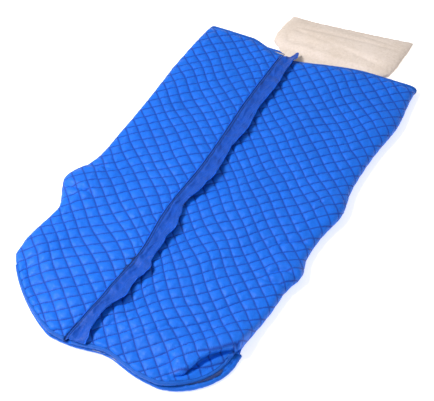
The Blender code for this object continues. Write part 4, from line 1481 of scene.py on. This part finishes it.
def build_materials(settings):
    GROUPS["weave"] = weave_group()
    GROUPS["uneven_dye"] = dye_group()
    GROUPS["crinkles"] = crinkle_group()
    GROUPS["diamond_stitching"] = stitching_group()
    GROUPS["pile"] = pile_group()
    quilt, band = tuple(settings.quilt_colour), tuple(settings.band_colour)
    LOOKS["quilted_nylon"] = quilted_material(settings)
    LOOKS["plain_nylon"] = plain_cloth_material(
        "plain_nylon", shaded(quilt, 0.9), shaded(quilt, 0.6), 0.45, 1500.0, 0.5
    )
    LOOKS["binding_nylon"] = plain_cloth_material(
        "binding_nylon", shaded(quilt, 0.72), shaded(quilt, 0.45), 0.5, 1100.0, 0.35
    )
    LOOKS["band_nylon"] = band_material(band)
    LOOKS["thread"] = plain_cloth_material(
        "thread", shaded(quilt, 0.18), shaded(quilt, 0.10), 0.6, 3000.0, 0.2
    )
    pillow = tuple(settings.pillow_colour)
    LOOKS["pillow_cotton"] = plain_cloth_material(
        "pillow_cotton", pillow, (0.72, 0.60, 0.50), 0.85, 900.0, 0.55, patch=7.0, amount=0.75,
        specular=0.2,
    )
    LOOKS["beige_lining"] = lining_material(tuple(settings.lining_colour))
    for name, colour, scale, softness, roughness, on_cloth in (
        ("felt", (0.80, 0.79, 0.76), 260.0, 1.0, 0.95, False),
        ("wadding", (0.90, 0.90, 0.88), 120.0, 1.0, 0.95, True),
        ("hook_tape", (0.02, 0.06, 0.30), 700.0, 0.2, 0.6, True),
        ("loop_tape", (0.03, 0.09, 0.40), 480.0, 0.9, 0.9, True),
    ):
        LOOKS[name] = pile_material(name, colour, scale, softness, roughness, on_cloth)
    glass = (0.72, 0.70, 0.62)
    LOOKS["glass_cloth"] = plain_cloth_material(
        "glass_cloth", glass, shaded(glass, 0.8), 0.7, 420.0, 0.2, sheen=0.1
    )
    for name, colour, roughness, metallic, wear in (
        ("heater_cable", (0.62, 0.10, 0.06), 0.5, 0.0, 1.1),
        ("lead", (0.03, 0.03, 0.03), 0.5, 0.0, 1.6),
        ("plastic", (0.04, 0.04, 0.045), 0.42, 0.0, 1.8),
        ("brass", (0.75, 0.55, 0.25), 0.3, 1.0, 1.1),
    ):
        LOOKS[name] = hard_material(name, colour, roughness, metallic, wear=wear)


def dress(made, look):
    made.data.materials.clear()
    made.data.materials.append(LOOKS[look])


def settle(made, look, body, *nodes):
    """Gives a piece its material, the solids that it stands for and the body that it rides on."""
    dress(made, look)
    if nodes:
        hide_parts(*nodes)
    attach(made, body)


def build_fittings():
    """Materials of the solids that show as they are, and cloth places for the glass cloth carrier.
    """
    looks = {
        "base_insulation": "felt", "base_back_zone_heater": "heater_cable",
        "base_leg_zone_heater": "heater_cable", "left_heater": "heater_cable",
        "right_heater": "heater_cable", "back_zone_lead": "lead", "leg_zone_lead": "lead",
        "back_zone_thermal_cutout": "plastic", "leg_zone_thermal_cutout": "plastic",
        "temperature_sensor": "brass", "inlet_housing": "plastic",
        "inlet_contact_block": "plastic",
        "base_heater_carrier": "glass_cloth",
    }
    for node, look in looks.items():
        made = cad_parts[node]
        if look == "glass_cloth":
            set_cloth_places(made)
        made.data.materials.clear()
        made.data.materials.append(LOOKS[look])


# ---- stage ---------------------------------------------------------------------------
def area_light(name, place, target, size, power):
    lamp = bpy.data.lights.new(name, "AREA")
    lamp.shape, lamp.size, lamp.energy = "DISK", size, power
    made = link(name, lamp)
    made.location = place
    made.rotation_euler = (Vector(target) - Vector(place)).to_track_quat("-Z", "Y").to_euler()
    return made


def build_stage(settings):
    reach, level = 9, -0.0006
    points = [(x * reach, y * reach, level) for x, y in ((-1, -1), (1, -1), (1, 1), (-1, 1))]
    floor = mesh_piece("floor", points, [(0, 1, 2, 3)], smooth=False)
    paper = bpy.data.materials.new("pale_floor")
    paper.use_nodes = True
    shader = paper.node_tree.nodes["Principled BSDF"]
    for socket, value in (
        ("Base Color", (0.93, 0.93, 0.93, 1)), ("Roughness", 0.9), ("Specular IOR Level", 0.1),
        ("Emission Color", (1, 1, 1, 1)), ("Emission Strength", 0.56),
    ):
        shader.inputs[socket].default_value = value
    floor.data.materials.append(paper)
    world = bpy.data.worlds.new("soft_room")
    world.use_nodes = True
    world.node_tree.nodes["Background"].inputs["Color"].default_value = (1, 1, 1, 1)
    world.node_tree.nodes["Background"].inputs["Strength"].default_value = 0.40
    bpy.context.scene.world = world
    area_light("key", (-2.2, -1.5, 3.7), (0, -0.1, 0), 1.6, settings.key_power)
    area_light("fill", (2.8, -2.4, 3.0), (0, 0, 0), 2.4, settings.key_power * 0.10)
    bpy.context.scene.view_settings.view_transform = "Standard"
    around, above, camera_distance = math.radians(27), math.radians(43.5), 5.5
    target = Vector((0.0436, -0.154, 0.0))
    back = Vector((math.sin(around) * math.cos(above), -math.cos(around) * math.cos(above),
                   math.sin(above)))
    lens = bpy.data.cameras.new("camera")
    lens.lens, lens.sensor_width = 123.2, 36
    camera = link("camera", lens)
    camera.location = target + back * camera_distance
    camera.rotation_euler = back.to_track_quat("Z", "Y").to_euler()
    bpy.context.scene.camera = camera


# ---- add-on --------------------------------------------------------------------------
class BlanketSettings(bpy.types.PropertyGroup):
    cell_side: FloatProperty(
        name="Quilt cell", description="Side of a square quilting cell", default=0.0435,
        unit="LENGTH",
    )
    cell_steps: IntProperty(
        name="Cell steps", description="Mesh steps across a quilting cell, even", default=12
    )
    puff_height: FloatProperty(
        name="Puff height", description="How far a cell stands up from its stitch lines",
        default=0.0074, unit="LENGTH",
    )
    pillow_slack: FloatProperty(
        name="Pillow slack", description="How far the pillow's cover may move off its filling",
        default=0.009, unit="LENGTH",
    )
    quilt_colour: FloatVectorProperty(
        name="Quilt colour", description="Nylon of the quilted shell",
        default=(0.005, 0.160, 0.82),
        subtype="COLOR",
    )
    # Painted shade that the quilt darkens to in its stitch valleys; the thread dashes take a
    # darker tone of it.
    quilt_shade: FloatVectorProperty(
        name="Quilt valley painted shade", description="Painted shade of the nylon down in the stitch lines",
        default=(0.001, 0.032, 0.36), subtype="COLOR",
    )
    band_colour: FloatVectorProperty(
        name="Band colour", description="Nylon of the closing band", default=(0.005, 0.085, 0.52),
        subtype="COLOR",
    )
    lining_colour: FloatVectorProperty(
        name="Lining colour", description="Wipe-clean inner lining", default=(0.76, 0.66, 0.55),
        subtype="COLOR",
    )
    pillow_colour: FloatVectorProperty(
        name="Pillow colour", description="Cotton of the pillow", default=(0.86, 0.74, 0.66),
        subtype="COLOR",
    )
    key_power: FloatProperty(
        name="Key light", description="Power of the main light", default=192.0, subtype="POWER"
    )


class BLANKET_OT_materials(bpy.types.Operator):
    """Make the fabrics, tapes, cables and plastics"""

    bl_idname = "blanket.materials"
    bl_label = "Materials"

    def execute(self, context):
        build_materials(context.scene.sauna_blanket)
        return {"FINISHED"}


class BLANKET_OT_shell(bpy.types.Operator):
    """Build the quilted outer shell: both leaves with their side turns, and the underside"""

    bl_idname = "blanket.shell"
    bl_label = "Quilted shell"

    def execute(self, context):
        build_shell(context.scene.sauna_blanket)
        build_underside(context.scene.sauna_blanket)
        return {"FINISHED"}


class BLANKET_OT_linings(bpy.types.Operator):
    """Build the beige linings and the leaves' heater cloths"""

    bl_idname = "blanket.linings"
    bl_label = "Linings"

    def execute(self, context):
        build_leaf_lining("left")
        build_leaf_lining("right")
        build_base_lining()
        build_heater_cloth("left")
        build_heater_cloth("right")
        return {"FINISHED"}


class BLANKET_OT_edges(bpy.types.Operator):
    """Build the hems, bound edges and hook-and-loop tapes"""

    bl_idname = "blanket.edges"
    bl_label = "Hems and tapes"

    def execute(self, context):
        build_hems()
        build_foot_edges()
        build_tapes()
        return {"FINISHED"}


class BLANKET_OT_band(bpy.types.Operator):
    """Build the closing band with its stitching and piping"""

    bl_idname = "blanket.band"
    bl_label = "Closing band"

    def execute(self, context):
        build_band()
        build_piping()
        return {"FINISHED"}


class BLANKET_OT_pillow(bpy.types.Operator):
    """Build the slack head pillow and its wadding"""

    bl_idname = "blanket.pillow"
    bl_label = "Pillow"

    def execute(self, context):
        build_pillow(context.scene.sauna_blanket)
        return {"FINISHED"}


class BLANKET_OT_fittings(bpy.types.Operator):
    """Give the inner layers, cables and the power inlet their materials"""

    bl_idname = "blanket.fittings"
    bl_label = "Inner parts"

    def execute(self, context):
        build_fittings()
        return {"FINISHED"}


class BLANKET_OT_stage(bpy.types.Operator):
    """Set up the floor, the lights and the camera"""

    bl_idname = "blanket.stage"
    bl_label = "Stage"

    def execute(self, context):
        build_stage(context.scene.sauna_blanket)
        return {"FINISHED"}


OPERATORS = (
    BLANKET_OT_stage,
    BLANKET_OT_materials,
    BLANKET_OT_shell,
    BLANKET_OT_linings,
    BLANKET_OT_edges,
    BLANKET_OT_band,
    BLANKET_OT_pillow,
    BLANKET_OT_fittings,
)


class BLANKET_PT_panel(bpy.types.Panel):
    """Lists the blanket's building steps"""

    bl_idname = "BLANKET_PT_panel"
    bl_label = "Sauna blanket"
    bl_space_type = "VIEW_3D"
    bl_region_type = "UI"
    bl_category = "Blanket"

    def draw(self, context):
        for made in OPERATORS:
            self.layout.operator(made.bl_idname)


CLASSES = (BlanketSettings, *OPERATORS, BLANKET_PT_panel)


def register():
    for made in CLASSES:
        bpy.utils.register_class(made)
    bpy.types.Scene.sauna_blanket = PointerProperty(type=BlanketSettings)


def unregister():
    del bpy.types.Scene.sauna_blanket
    for made in reversed(CLASSES):
        bpy.utils.unregister_class(made)


def main():
    register()
    for made in OPERATORS:
        getattr(bpy.ops.blanket, made.bl_idname.split(".")[1])()
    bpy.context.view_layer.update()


if __name__ == "__main__":
    main()
